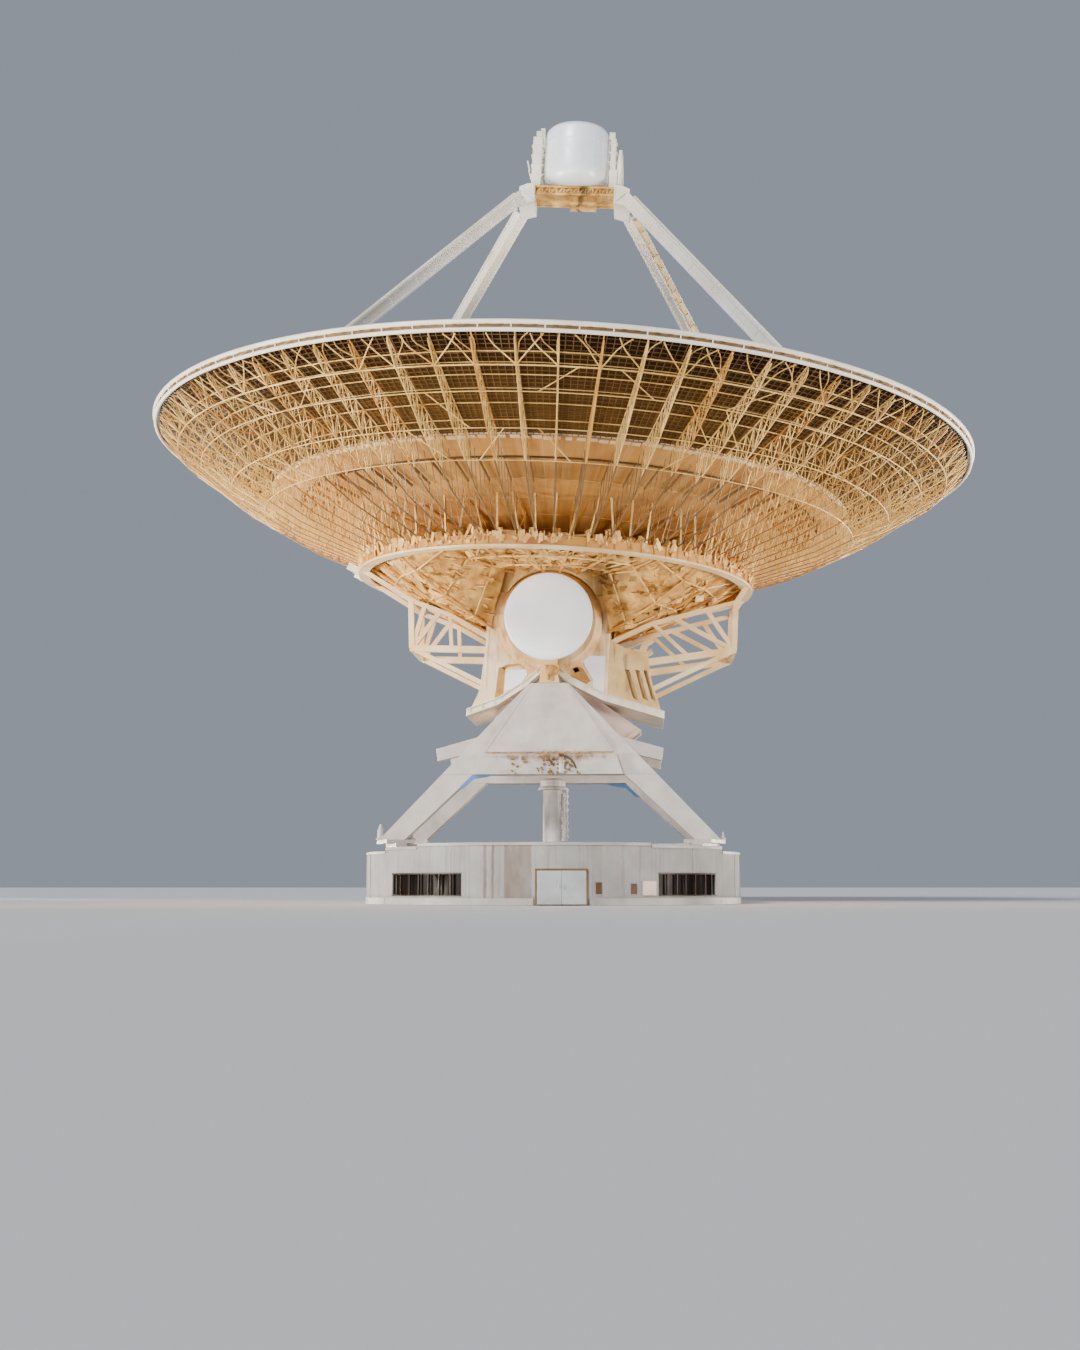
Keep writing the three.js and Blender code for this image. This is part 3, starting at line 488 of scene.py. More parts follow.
def cone_look(name, light, dark, stain, shade):
    """Thin gold plate in patches and stains, with painted shade in a sector beside each bearing."""
    look = Look(name, 0.1)
    radius, own = look.dish_place()
    along, back, _ = look.split(own)
    runs = look.fade(look.noise(5.7, 6, (1, 1, 0.7)), 0.54, 0.72, 0.95)
    spread = look.fade(look.noise(1.3, 3), 0.38, 0.7)
    colour = look.mix(look.times(runs, spread), look.patches(2.6, 5, light, dark), stain)
    # Painted shade: the sector beside each bearing, where the box and hub shade the cone, is mixed
    # towards the shade colour.
    turn = look.operate("ARCTAN2", along, look.size(back))
    turn = look.plus(turn, look.times(look.noise(2.0, 4), 0.25))
    sector = look.band(turn, 0.42, 0.95, 0.125)
    sector = look.times(sector, look.fade(look.times(radius, 0.2), 0.58, 0.8, 0.0, 0.7))
    colour = look.mix(sector, colour, shade)
    return look.finish(colour, look.fade(look.noise(15, 3), 0.3, 0.9, 0.7, 0.4), (50, 4))


def wall_look(name, light, dark, stain):
    """Painted render with a stained bay, rust streaks at their bearings, and grime at the foot."""
    look = Look(name)
    across, back, high = look.split(look.place)
    turned = look.operate("ARCTAN2", across, look.times(back, -1.0))
    angle = look.plus(look.times(turned, 180 / math.pi), look.times(look.noise(4, 3), 0.7))
    place = look.node("CombineXYZ", {0: angle, 2: high}).outputs[0]
    runs = look.fade(look.noise(0.8, 6, (1, 1, 0.35), place), 0.5, 0.75, 0.55)
    bay = look.times(look.band(angle, -10.6, -2.3, 0.5), 0.75)
    streaks = look.most(look.band(angle, -16.6, -15.2, 0.4), look.band(angle, -14.2, -13.0, 0.4))
    uneven = look.fade(look.noise(3, 6, (1, 1, 0.3)), 0.3, 0.7, 1.0, 0.35)
    patch = look.times(look.most(bay, look.times(streaks, 0.8)), uneven)
    foot = look.minus(0.7, look.times(high, 1.6))
    grime = look.fade(look.plus(foot, look.times(look.noise(2.4, 6), 0.6)), 0.55, 1.0, 0.6)
    share = look.most(look.most(patch, grime), look.times(runs, 0.6))
    colour = look.mix(share, look.patches(1.1, 6, light, dark, 0.75), stain)
    return look.finish(colour, look.fade(look.noise(9, 3), 0.2, 0.8, 0.85, 0.6), (22, 5), 0.2)


def mesh_look(name, light, dark, patches=0.5, panelled=False):
    """Wire mesh with painted shade towards the rim, fine rings and, where told, seams of panels."""
    look = Look(name, 0.2, 0.93)
    radius, own = look.dish_place()
    # Painted shade: the tone runs from the light colour to the dark one towards the rim, for the
    # darkness seen through the outer mesh.
    out = look.over(look.minus(radius, SOLID_R * SCALE), (RIM_IN - SOLID_R) * SCALE)
    tone = look.mix(look.fade(out, 0.1, 0.9), light, dark)
    rings = look.operate("SINE", look.times(radius, 110.0))
    tone = look.mix(look.fade(rings, 0.3, 0.9, 0.35), tone, 0x2A2018)
    tone = look.mix(look.fade(look.noise(1.4, 5), 0.45, 0.8, patches), tone, 0x3A2B1E)
    if panelled:
        panels = look.dish_panels(radius, own, 1.12, 0.02)[1]
        tone = look.mix(0.3, tone, panels["Color"], "OVERLAY")
        tone = look.mix(look.times(panels["Fac"], 0.6), tone, 0x5C5348)
    look.shader.inputs["Specular IOR Level"].default_value = 0.05
    rough = look.fade(look.noise(9, 3), 0.2, 0.8, 0.75, 0.5)
    return look.finish(tone, rough, (30, 2), 0.1, 0.003)


def rib(shape, angle, first, last, chord, web, sides):
    """A length of radial truss: two chords, posts, and diagonals that turn about at each post."""
    radii = np.array([first, *(r for r in RIB_STOPS if first + 0.4 < r <= last)])
    lows = np.where(radii < GIRDER_R, np.interp(radii, CONE_STOPS, cone_lows(angle)),
                    lower_chord(radii))
    bottom, top = polar(radii, angle, lows), on_bowl(radii, angle, TOP_DROP)
    shape.sweep(top, chord, sides=sides)
    shape.sweep(bottom, chord, sides=sides)
    shape.bars(bottom[:-1], top[:-1], web, sides=sides)
    rising = (np.arange(len(radii) - 1) % 2 == 0)[:, None]
    shape.bars(np.where(rising, bottom[:-1], top[:-1]), np.where(rising, top[1:], bottom[1:]), web,
               sides=sides)
    return bottom[1:-1], top[1:-1]


def is_deep(angle):
    """Whether a rib reaches down beside the box, near the X axis."""
    return abs(math.cos(math.radians(angle))) > 0.7


def cone_lows(angle):
    """Heights of a rib's lower chord at the radii in CONE_STOPS."""
    return DEEP_LOWS if is_deep(angle) else SHALLOW_LOWS


def rib_start(angle):
    """Where a rib's lower chord leaves the hub drum or the box."""
    if not is_deep(angle):
        return HUB_R + 0.03
    from_x = abs((angle + 90) % 180 - 90)
    return 3.56 if from_x < 10 else 3.84 if from_x < 30 else 4.0


def rib_angles(quarter, step=RIB_STEP):
    """Where a quarter's ribs stand, in degrees."""
    return quarter * 90 + (np.arange(90 // step) + 0.5) * step


def main_ribs(shape, quarter):
    """Six deep trusses of a quarter, open over the plated bowl, with gussets at their nodes."""
    for angle in rib_angles(quarter, MAIN_STEP):
        rib(shape, angle, rib_start(angle), GIRDER_R, 0.13, 0.07, 6)
        nodes = rib(shape, angle, MESH_NODE, RIB_END, 0.065, 0.04, 6)
        for points, reach, width in zip(nodes, (0.04, 0.03), (0.12, 0.11)):
            across = sideways(angle) * reach
            shape.bars(points - across, points + across, width, sides=8)


def rib_middles(shape, quarter, deep=True):
    """The ribs' chords over the plated bowl, either near the X axis or away from it."""
    line = np.array([GIRDER_R, 12.7, 14.6, MESH_NODE])
    for angle in rib_angles(quarter):
        if is_deep(angle) == deep:
            shape.sweep(on_chord(line, angle), 0.05 if deep else 0.075, sides=6)
            shape.sweep(on_bowl(line[1:-1], angle, 0.27), 0.04, 0.16)


def web_lattice(shape, quarter):
    """The close lacing inside the ribs, which shows from the side and hides end on."""
    for angle in rib_angles(quarter):
        radii = np.arange(11.3 if is_deep(angle) else SOLID_R, 22.3, 0.6)
        bottom, top = on_chord(radii, angle), on_bowl(radii, angle, TOP_DROP)
        for starts, ends in ((bottom, top), (bottom[:-1], top[1:]), (top[:-1], bottom[1:])):
            shape.bars(starts, ends, 0.035)


def shaded_lattice(shape, quarter):
    """Ribs over the plated bowl away from the X axis: dark chords and a sparse lacing, painted
    shade.
    """
    rib_middles(shape, quarter, deep=False)
    radii = np.arange(11.3, 16.2, 0.8)
    for angle in rib_angles(quarter):
        if not is_deep(angle):
            shape.bars(on_chord(radii[:-1], angle), on_bowl(radii[1:], angle, TOP_DROP), 0.035)
            shape.bars(on_girder(angle), on_bowl(11.3, angle, TOP_DROP), 0.04)


def fine_ribs(shape, quarter):
    """The lighter ribs between the main ones, behind the mesh."""
    for k, angle in enumerate(rib_angles(quarter)):
        if k % 3 != 1:
            rib(shape, angle, 15.9, RIB_END, 0.055, 0.035, 5)


def hoops(shape, quarter):
    """Rings of straight members between the ribs, near the surface and along the lower chords."""
    angles = np.array([quarter * 90, *rib_angles(quarter), quarter * 90 + 90])
    for r, width in ((17.3, 0.04), (18.4, 0.05), (19.3, 0.04), (20.1, 0.05), (20.8, 0.04),
                     (LAST_NODE, 0.06)):
        shape.sweep(on_bowl(r, angles, TOP_DROP), width, sides=5)
    for r, width in ((MESH_NODE, 0.04), (18.4, 0.04), (20.1, 0.045), (LAST_NODE, 0.06)):
        shape.sweep(on_chord(r, angles), width, sides=5)


def curved_strut(shape, start, end, bow, width):
    """A strut that bows sideways, as the rim's stays do."""
    t = np.linspace(0, 1, 6)[:, None]
    wave = np.sin(t * math.pi) - 0.35 * np.sin(t * 2 * math.pi)
    shape.sweep(start + (end - start) * t + bow * wave, width, sides=5)


def wind_bracing(shape, quarter):
    """Ties in the lower surface, the braces on the girder, and the stays that splay to the rim."""
    chance = random.Random(40 + quarter)
    middles = rib_angles(quarter)
    for inner, outer in ((MESH_NODE, 18.4), (18.4, 20.1), (20.1, LAST_NODE)):
        for middle in middles:
            if chance.random() < 0.3:
                shift = chance.choice((-1, 1)) * RIB_STEP / 2
                shape.bars(on_chord(inner, middle - shift), on_chord(outer, middle + shift), 0.045,
                           sides=5)
    for left in middles - RIB_STEP / 2:
        reach = chance.uniform(11.5, 12.1)
        apex = on_bowl(reach, left + RIB_STEP * chance.uniform(0.3, 0.7), 0.16)
        if is_deep(left):
            shape.bars(on_girder(np.array([left, left + RIB_STEP])), apex, 0.05, sides=5)
        share = chance.uniform(0.2, 0.8)
        shape.bars(polar(11.02, left + RIB_STEP * share, 2.8),
                   on_bowl(11.4, left + RIB_STEP * (1 - share), 0.16), 0.09, 0.04)
    for i, middle in enumerate(middles):
        left = middle - RIB_STEP / 2
        across = sideways(left)
        for share in (-0.15, 1.15 if i % 2 else 0.5):
            head = polar(RIM_IN - 0.05, left + share * RIB_STEP, RIM_LOW + 0.02)
            bow = across * chance.uniform(-0.2, 0.2)
            curved_strut(shape, on_chord(LAST_NODE, middle), head, bow, 0.05)
        head = polar(RIM_IN - 0.05, left + RIB_STEP * chance.choice((0.1, 0.8)), RIM_LOW + 0.05)
        bow = across * chance.uniform(-0.25, 0.25)
        curved_strut(shape, on_bowl(21.2, middle, TOP_DROP), head, bow, 0.042)


def cone_height(r, share, angle):
    """Height of the inner cone at a share of the way from one main rib to the next."""
    here, after = (np.interp(r, CONE_STOPS, cone_lows(a)) for a in (angle, angle + MAIN_STEP))
    return here * (1 - share) + after * share


def on_cone(r, share, angle, lift=0.0):
    """A point on the inner cone, or lifted off it."""
    return polar(r, angle + share * MAIN_STEP, cone_height(r, share, angle) + lift)


def inner_lattice(shape, quarter):
    """The lattice of the cone between the hub and the ring girder."""
    chance = random.Random(90 + quarter)
    stops = (4.3, 5.2, 7.2, 9.0, GIRDER_R - 0.3)
    for angle in rib_angles(quarter, MAIN_STEP):
        for r in stops[1:4]:
            shape.bars(on_cone(r, 0, angle), on_cone(r, 1, angle), 0.09, sides=6)
        for inner, outer in zip(stops, stops[1:]):
            shares = chance.uniform(0.0, 1.0), chance.uniform(0.0, 1.0)
            a, b = (on_cone(r, share, angle, 0.05) for r, share in zip((inner, outer), shares))
            shape.bars(a, b, chance.uniform(0.05, 0.09), sides=5)


def inner_plates(shape, quarter):
    """Thin plates, out of true, that close the cone between the hub and the ring girder."""
    chance = np.random.default_rng(7 + quarter)
    radii = np.array([4.1, 4.8, 5.5, 6.2, 6.9, 7.6, 8.3, 9.0, 9.7, 10.45])
    shares = np.linspace(0.0, 1.0, 8)
    for angle in rib_angles(quarter, MAIN_STEP):
        lift = 0.24 + chance.uniform(-0.17, 0.17, (len(radii), len(shares)))
        lift[:, [0, -1]] = 0.24
        heights = cone_height(radii[:, None], shares, angle) + lift
        shape.patch(radii, angle + shares * MAIN_STEP, heights)


def inner_scraps(shape, quarter):
    """Small loose-set plates and gussets over the inner cone, at all angles."""
    chance = random.Random(17 + quarter)
    for angle in rib_angles(quarter, MAIN_STEP):
        for _ in range(52):
            share, r = chance.uniform(0.03, 0.97), chance.uniform(4.3, 10.3)
            centre = on_cone(r, share, angle, chance.uniform(0.02, 0.2))
            out = normalised(on_cone(r + 0.4, share, angle) - on_cone(r, share, angle))
            across = sideways(angle + share * MAIN_STEP)
            spin = chance.uniform(-1.2, 1.2)
            along = normalised(out * math.cos(spin) + across * math.sin(spin))
            reach = along * chance.uniform(0.16, 0.42)
            up = normalised(np.cross(along, across) + across * chance.uniform(-0.9, 0.9))
            shape.bars(centre - reach, centre + reach, chance.uniform(0.2, 0.55), 0.03, up=up)


# Painted light and shade over the plated bowl: darker paints on the ribs, lighter gold on the
# lacing near the X axis.
BACK_PARTS = (
    (main_ribs, "amber"), (rib_middles, "shade"), (fine_ribs, "gold"), (web_lattice, "gold"),
    (shaded_lattice, "rusty"), (hoops, "gold"), (wind_bracing, "gold"), (inner_lattice, "gold"),
    (inner_plates, "foil"), (inner_scraps, "foil"),
)


def back_structure():
    """All the steelwork behind the bowl, in quarters as the solids are."""
    for quarter in range(4):
        for make, look in BACK_PARTS:
            shape = Shape()
            make(shape, quarter)
            nodes = [f"back_frame_{quarter + 1}"] if make is main_ribs else ()
            shape.build(f"{make.__name__}_{quarter + 1}", look, "buff_paint", nodes)


def bowl(half, start, stop):
    """Half of the plated bowl, with its seams, its edge plates and a strip of painted shadow."""
    radii = np.array([*np.linspace(0.02, 14.6, 13), 15.4, SOLID_R])
    for name, look, low, high, nodes in (("bowl_back", "bowl", 0.12, 0.05, [f"reflector_{half}"]),
                                         ("bowl_face", "face", 0.045, 0.0, ())):
        rows = ((radii, low), (radii[::-1], high))
        profile = [point for r, drop in rows for point in zip(r, surface(r) - drop)]
        Shape().lathe(profile, 96, span=(start + 0.004, stop - 0.004)).build(
            f"{name}_{half}", look, "cream_paint", nodes)
    seams = Shape()
    for r in (5.2, 7.2, 9.0, 10.8, 12.7):
        seams.sweep(on_bowl(r, np.linspace(start + 0.3, stop - 0.3, 73), 0.125), 0.05, 0.02)
    line = np.linspace(3.6, SOLID_R - 0.05, 12)
    for angle in np.arange(start + POST_STEP, stop, 2 * POST_STEP):
        seams.sweep(on_bowl(line, angle, 0.125), 0.05, 0.02)
    seams.build(f"bowl_seams_{half}", "amber", "cream_paint")
    edge = Shape()
    chance = random.Random(3)
    ends = np.array([16.0, 16.2])
    for angle in np.arange(start + 0.2, stop - 1.6, POST_STEP / 2):
        angles = np.linspace(angle, angle + chance.choice((1.5, 1.6, 1.7, 1.1)), 3)
        edge.patch(ends, angles, surface(ends)[:, None] - chance.uniform(0.15, 0.22))
    edge.build(f"plate_edge_{half}", "rib_cream", "cream_paint")
    # Painted shadow: a dark brown strip at radius 14.5 stands for the shaded gap between the plates
    # there.
    gap = on_bowl(14.5, np.linspace(start + 0.2, stop - 0.2, 97), 0.15)
    Shape().sweep(gap, 0.16, 0.05).build(f"bowl_gap_{half}", "brown", "brown_paint")


def mesh_ring(half, start, stop):
    """Half of the wire mesh: its own wires, and two thin films that show what lies between them."""
    wires = Shape()
    for r in np.arange(SOLID_R + 0.2, RIM_IN, 0.24):
        wires.sweep(on_bowl(r, np.linspace(start + 0.02, stop - 0.02, 97), 0.03), 0.045, 0.03)
    line = np.linspace(SOLID_R + 0.02, RIM_IN - 0.03, 7)
    for angle in np.arange(start + 0.4, stop, POST_STEP / 4):
        wires.sweep(on_bowl(line, angle, 0.06), 0.04, 0.03)
    wires.build(f"mesh_wires_{half}", "wire", "wire_mesh", [f"mesh_ring_{half}"])
    angles = np.linspace(start, stop, 97)
    radii = np.linspace(SOLID_R + 0.02, RIM_IN - 0.02, 9)
    for name, look, drop in (("fine_mesh", "film", 0.008), ("mesh_face", "face_mesh", 0.0)):
        film = Shape().patch(radii, angles, surface(radii)[:, None] - drop, 0.006)
        film.build(f"{name}_{half}", look, "wire_mesh")


def rim(half, start, stop):
    """Half of the rim: three bright tubes with posts, and a lattice before a thin inner band."""
    span = (start + 0.05, stop - 0.05)
    fine = np.linspace(*span, 193)
    top = float(surface(RIM_OUT)) - 0.11
    middle = (RIM_IN + RIM_OUT) / 2
    foot = RIM_LOW + 0.09
    tubes = Shape()
    tubes.sweep(polar(RIM_OUT - 0.12, fine, top), 0.21, sides=8)
    tubes.sweep(on_bowl(RIM_IN, fine, 0.07) + polar(0.08, fine, 0), 0.12, sides=8)
    tubes.sweep(polar(middle, fine, foot), 0.17, sides=8)
    posts = np.arange(start, stop, POST_STEP) + POST_STEP / 4
    for r, drop in ((RIM_OUT - 0.08, 0.0), (RIM_IN + 0.08, 0.15)):
        tubes.bars(polar(middle, posts, foot), polar(r, posts, top - drop), 0.05, sides=6)
    tubes.build(f"rim_tubes_{half}", "rim", "white_paint", [f"rim_{half}"])
    band = Shape()
    ties, after = posts[:-1], posts[:-1] + POST_STEP
    for low, high, width in ((ties, after, 0.06), (after, ties, 0.05)):
        band.bars(polar(middle, low, foot), polar(RIM_OUT - 0.1, high, top), width, sides=5)
    band.lathe([(middle - 0.06, foot), (middle - 0.02, foot), (RIM_OUT - 0.14, top),
                (RIM_OUT - 0.18, top)], 96, span=span)
    band.build(f"rim_lattice_{half}", "rusty", "white_paint")


def girder():
    """The flanged ring beam under the ribs, with its stiffeners, ears, gussets and scraps."""
    low, high = GIRDER_Z
    inner, outer, lip = GIRDER_R - 0.25, GIRDER_R + 0.25, 0.05
    shape = Shape()
    shape.lathe([(inner, low), (outer, low), (outer, low + lip), (outer - lip, low + lip),
                 (outer - lip, high - lip), (outer, high - lip), (outer, high), (inner, high),
                 (inner, high - lip), (inner + lip, high - lip), (inner + lip, low + lip),
                 (inner, low + lip)], 192)
    turns = np.arange(0, 360, POST_STEP)
    for r in (inner + 0.03, outer - 0.03):
        shape.bars(polar(r, turns, low + lip), polar(r, turns, high - lip), 0.045)
    shape.build("ring_beam", "amber", "cream_paint", ["ring_girder"])
    flange = Shape()
    near, far = inner - 0.03, outer + 0.05
    flange.lathe([(near, low - 0.05), (far, low - 0.05), (far, low + 0.06),
                  (outer + 0.005, low + 0.06), (outer + 0.005, low - 0.005),
                  (near, low - 0.005)], 192)
    flange.build("girder_flange", "rib_cream", "cream_paint")
    ears = Shape()
    for angle in (174, 186):
        ears.bars(polar(10.9, angle, 2.6), polar(11.75, angle, 2.95), 0.4, 0.12, up=sideways(angle))
        ears.bars(polar(11.2, angle - 1.5, 2.62), polar(11.2, angle + 1.5, 2.62), 0.5, 0.1)
    ears.build("girder_ears", "rim", "cream_paint")
    gussets = Shape()
    chance = random.Random(12)
    for angle in turns:
        size = chance.uniform(0.14, 0.34)
        foot = polar(outer - 0.1, angle, high + 0.02)
        head = foot + polar(0.25, angle, size)
        gussets.bars(foot, head, size, 0.04, up=sideways(angle))
    gussets.build("girder_gussets", "gold", "cream_paint")
    scraps = Shape()
    for _ in range(460):
        angle = chance.uniform(0, 360)
        on_web = chance.random() < 0.6
        r = outer if on_web else chance.uniform(inner + 0.05, outer)
        foot = polar(r, angle, chance.uniform(low + 0.12, high) if on_web else high - 0.03)
        tilt = polar(chance.uniform(0.0, 0.3), angle, 1)
        tilt = tilt + sideways(angle) * chance.uniform(-0.7, 0.7)
        tall = 0.12 + 0.5 * chance.random() ** 2
        scraps.bars(foot, foot + tilt * tall, chance.uniform(0.1, 0.36), 0.03,
                    up=polar(1, angle + chance.uniform(-60, 60), 0))
    scraps.build("girder_scraps", "flake", "cream_paint")


def covers():
    """The white domed discs over the elevation bearings, with a seam and a ring of studs."""
    dome = ((0, 4.65), (0.6, 4.648), (1.2, 4.64), (1.7, 4.622), (1.885, 4.61), (1.9, 4.595),
            (1.915, 4.608), (2.15, 4.585), (2.3, 4.55), (2.36, 4.52), (COVER_R, 4.48),
            (COVER_R, 4.43), (2.3, 4.42), (0, 4.42))
    stud = ((0, 4.6), (0.04, 4.595), (0.045, 4.5), (0, 4.5))
    for side, sign in SIDES:
        shape = Shape()
        shape.lathe([(r, sign * y) for r, y in dome], 96, "y", (0, 0, AXIS_Z))
        for angle in np.radians(np.arange(0, 360, 15)):
            x, z = 2.2 * math.cos(angle), 2.2 * math.sin(angle)
            shape.lathe([(r, sign * y) for r, y in stud], 8, "y", (x, 0, z + AXIS_Z))
        shape.build(f"bearing_disc_{side}", "white", "white_paint", [f"bearing_cover_{side}"],
                    "alidade")


def box_plating():
    """Panels, seams, and painted shade in the recess and openings of the central box's two faces.
    """
    # Painted shade: brown-gold patches along the edges of the recess, and a dark fill for the
    # opening.
    stains = (((-2.85, -4.35), (-2.4, -4.2), (-2.36, -2.62), (-2.72, -2.62)),
              ((-2.6, -2.62), (-2.3, -2.45), (-1.35, -2.32), (-1.35, -2.44), (-2.2, -2.58),
               (-2.36, -2.75)),
              ((1.35, -2.5), (1.6, -2.42), (1.75, -2.62), (1.5, -2.75)))
    opening = ((1.0, -2.2), (1.9, -2.46), (2.36, -3.15), (2.12, -3.35), (1.35, -2.95))
    panels = ((((-2.3, -3.95), (-1.5, -3.5), (-1.12, -2.95), (-1.2, -2.66), (-2.05, -2.72),
                (-2.3, -2.95)), 0.06),
              (((1.75, -1.75), (3.1, -1.75), (3.1, -3.75), (2.5, -3.5), (2.48, -3.05),
                (2.02, -2.36)), 0.05))
    for side, sign in SIDES:
        face = sign * (BOX_FRONT + 0.012)
        near, far = sign * (BOX_FRONT + 0.002), sign * (BOX_FRONT + 0.02)
        trim = Shape()
        for x, foot in ((-3.4, -3.8), (3.2, -4.0)):
            trim.bars((x, face, foot), (x, face, 1.5), 0.1, 0.024, up=(0, 1, 0))
        for z, left, right in ((-2.0, -3.4, -2.1), (-2.0, 2.1, 3.2), (-4.35, -3.65, -1.35),
                               (0.6, -3.4, -2.95)):
            trim.bars((left, face, z), (right, face, z), 0.08, 0.024, up=(0, 1, 0))
        for x in np.arange(-3.3, 3.3, 0.3):
            if abs(x) > 2.3:
                trim.bars((x, face, 1.42), (x, face + sign * 0.03, 1.42), 0.06, sides=6)
        trim.build(f"box_trim_{side}", "cream", "cream_paint")
        recess = Shape()
        for outline in stains:
            recess.prism(outline, (near, far))
        recess.build(f"box_recess_{side}", "rust_and_shade_gold", "brown_paint")
        dark = Shape().prism(opening, (near, far))
        dark.build(f"box_opening_{side}", "rust_and_shade_gold", "brown_paint")
        plates = Shape()
        for outline, out in panels:
            plates.prism(outline, (near, sign * (BOX_FRONT + out)))
        plates.build(f"box_plates_{side}", "white", "white_paint", bevel=0.006)


def bay_trim():
    """The bracket that stands on the machinery bay's upper edge, at the front and the rear."""
    shape = Shape()
    for sign in (-1, 1):
        y = sign * (BOX_FRONT - 0.25)
        shape.prism([(4.9, -1.42), (5.25, -1.42), (5.42, -1.02), (5.72, -0.82), (5.6, -0.52),
                     (5.1, -0.85)], (y - 0.12, y + 0.12))
        shape.prism([(4.6, -1.36), (5.36, -1.44), (5.36, -1.36), (4.6, -1.26)],
                    (y - 0.22, y + 0.22))
    shape.build("bay_bracket", "rib_cream", "buff_paint", bevel=0.006)


def chevron_trim():
    """Flange lips along both edges of the chevron plate, and the stiffeners between them."""
    outline = ((-4.3, -5.45), (-2.6, -4.75), (-1.2, -3.75), (0.1, -2.45), (1.3, -3.45),
               (3.1, -4.25), (6.45, -5.1))
    thick = 0.42
    shape = Shape()
    for y in (-3.03, 3.03):
        points = np.array([(x, y, z) for x, z in outline])
        for lift in (0.03, thick - 0.04):
            shape.sweep(points + (0, 0, lift), 0.1, 0.05)
        for a, b in zip(points, points[1:]):
            count = max(2, int(np.linalg.norm(b - a) / 0.6))
            feet = a + (b - a) * np.linspace(0.12, 0.88, count)[:, None]
            for foot in feet:
                shape.bars(foot + (0, 0, 0.05), foot + (0, 0, thick - 0.05), 0.05)
    shape.build("chevron_flanges", "post", "white_paint")


def upright_arc(r, turns, y):
    """Points round the Y axis, with the turns in degrees up from the X axis."""
    return polar(r, turns, 0)[..., [0, 2, 1]] + (0, y, 0)


def sector_trim():
    """The toothed edge of the gear sector and its side plates' ribs."""
    teeth, ribs = Shape(), Shape()
    turns = np.linspace(-116.6, -47.4, 120)
    for y in (-1.55 * 1.03, 1.55 * 1.03):
        ribs.sweep(upright_arc(7.6, turns, y), 0.12, 0.2, up=(0, 1, 0))
        spots = np.arange(-112, -50, 8)
        for low, high in zip(upright_arc(7.5, spots, y), upright_arc(7.5 * 0.86, spots, y)):
            ribs.bars(low, high, 0.08, 0.06, up=(0, 1, 0))
    for turn in turns[1:-1]:
        spot = upright_arc(7.66, turn, 0)
        teeth.bars(spot - (0, 0.7, 0), spot + (0, 0.7, 0), 0.07, up=spot / 7.66)
    ribs.build("sector_ribs", "pink", "cream_paint")
    teeth.build("sector_teeth", "steel", "steel")


def feed_legs():
    """Box beams with corner angles and battens, from the bowl up to the focus cabin."""
    foot_z = float(surface(math.hypot(*FEED_FOOT)))
    for i, (side_x, side_y) in enumerate(((1, 1), (-1, 1), (-1, -1), (1, -1))):
        base = np.array([side_x * FEED_FOOT[0], side_y * FEED_FOOT[1], foot_z])
        head = np.array([side_x * FEED_TOP[0], side_y * FEED_TOP[1], FEED_TOP[2]])
        along = normalised(head - base)
        foot, top = base + along * 0.62, head - along * 0.12
        level = normalised(np.cross((0, 0, 1), along))
        upward = np.cross(along, level)
        length = float(np.linalg.norm(top - foot))
        shape = Shape().bars(foot, top - along * 0.75, 0.5, 0.58)
        for x, y in ((-1, -1), (-1, 1), (1, -1), (1, 1)):
            shift = level * x * 0.26 + upward * y * 0.3
            shape.bars(foot + shift, top - along * 0.6 + shift, 0.1)
        bands = [(t, t + 0.1, 0.56, 0.64) for t in np.arange(1.4, length - 0.8, 2.3)]
        bands += [(-0.1, 0.2, 0.62, 0.7), (0.2, 0.3, 0.76, 0.84)]
        for start, stop, width, depth in bands:
            shape.bars(foot + along * start, foot + along * stop, width, depth)
        shape.build(f"feed_beam_{i + 1}", "leg", "white_paint", [f"feed_leg_{i + 1}"])
        if i == 0:
            tray = Shape()
            start = foot + level * 0.33
            tray.bars(start + along * 0.3, start + along * (length - 1.2), 0.12, 0.3)
            for k, t in enumerate(np.arange(0.5, length - 1.0, 0.8)):
                depth = 0.34 if k % 3 else 0.5
                tray.bars(start + along * t, start + along * (t + 0.42), 0.3, depth, sides=8)
            tray.build("feed_conduit", "rib_cream", "steel")


def cabin_shell():
    """The focus cabin's drum, with a domed foot, bands and upright battens."""
    profile = [(0, 25.94), (1.0, 25.94), (1.28, 26.02), (1.5, 26.14), (1.67, 26.3), (1.79, 26.5),
               (1.86, 26.7), (1.89, 26.9), (1.89, 27.6), (1.87, 27.62), (1.87, 27.65),
               (1.89, 27.67), (1.89, 28.4), (1.87, 28.42), (1.87, 28.45), (1.89, 28.47),
               (1.89, 29.18), (1.84, 29.34), (1.72, 29.48), (1.52, 29.58), (1.28, 29.64),
               (0, 29.71)]
    drum = Shape().lathe(profile, 64)
    for angle in np.arange(11.25, 360, 22.5):
        drum.bars(polar(1.893, angle, 26.95), polar(1.893, angle, 29.15), 0.04, 0.02,
                  up=polar(1, angle, 0))
    drum.build("cabin_shell", "white", "white_paint", ["cabin_drum"])


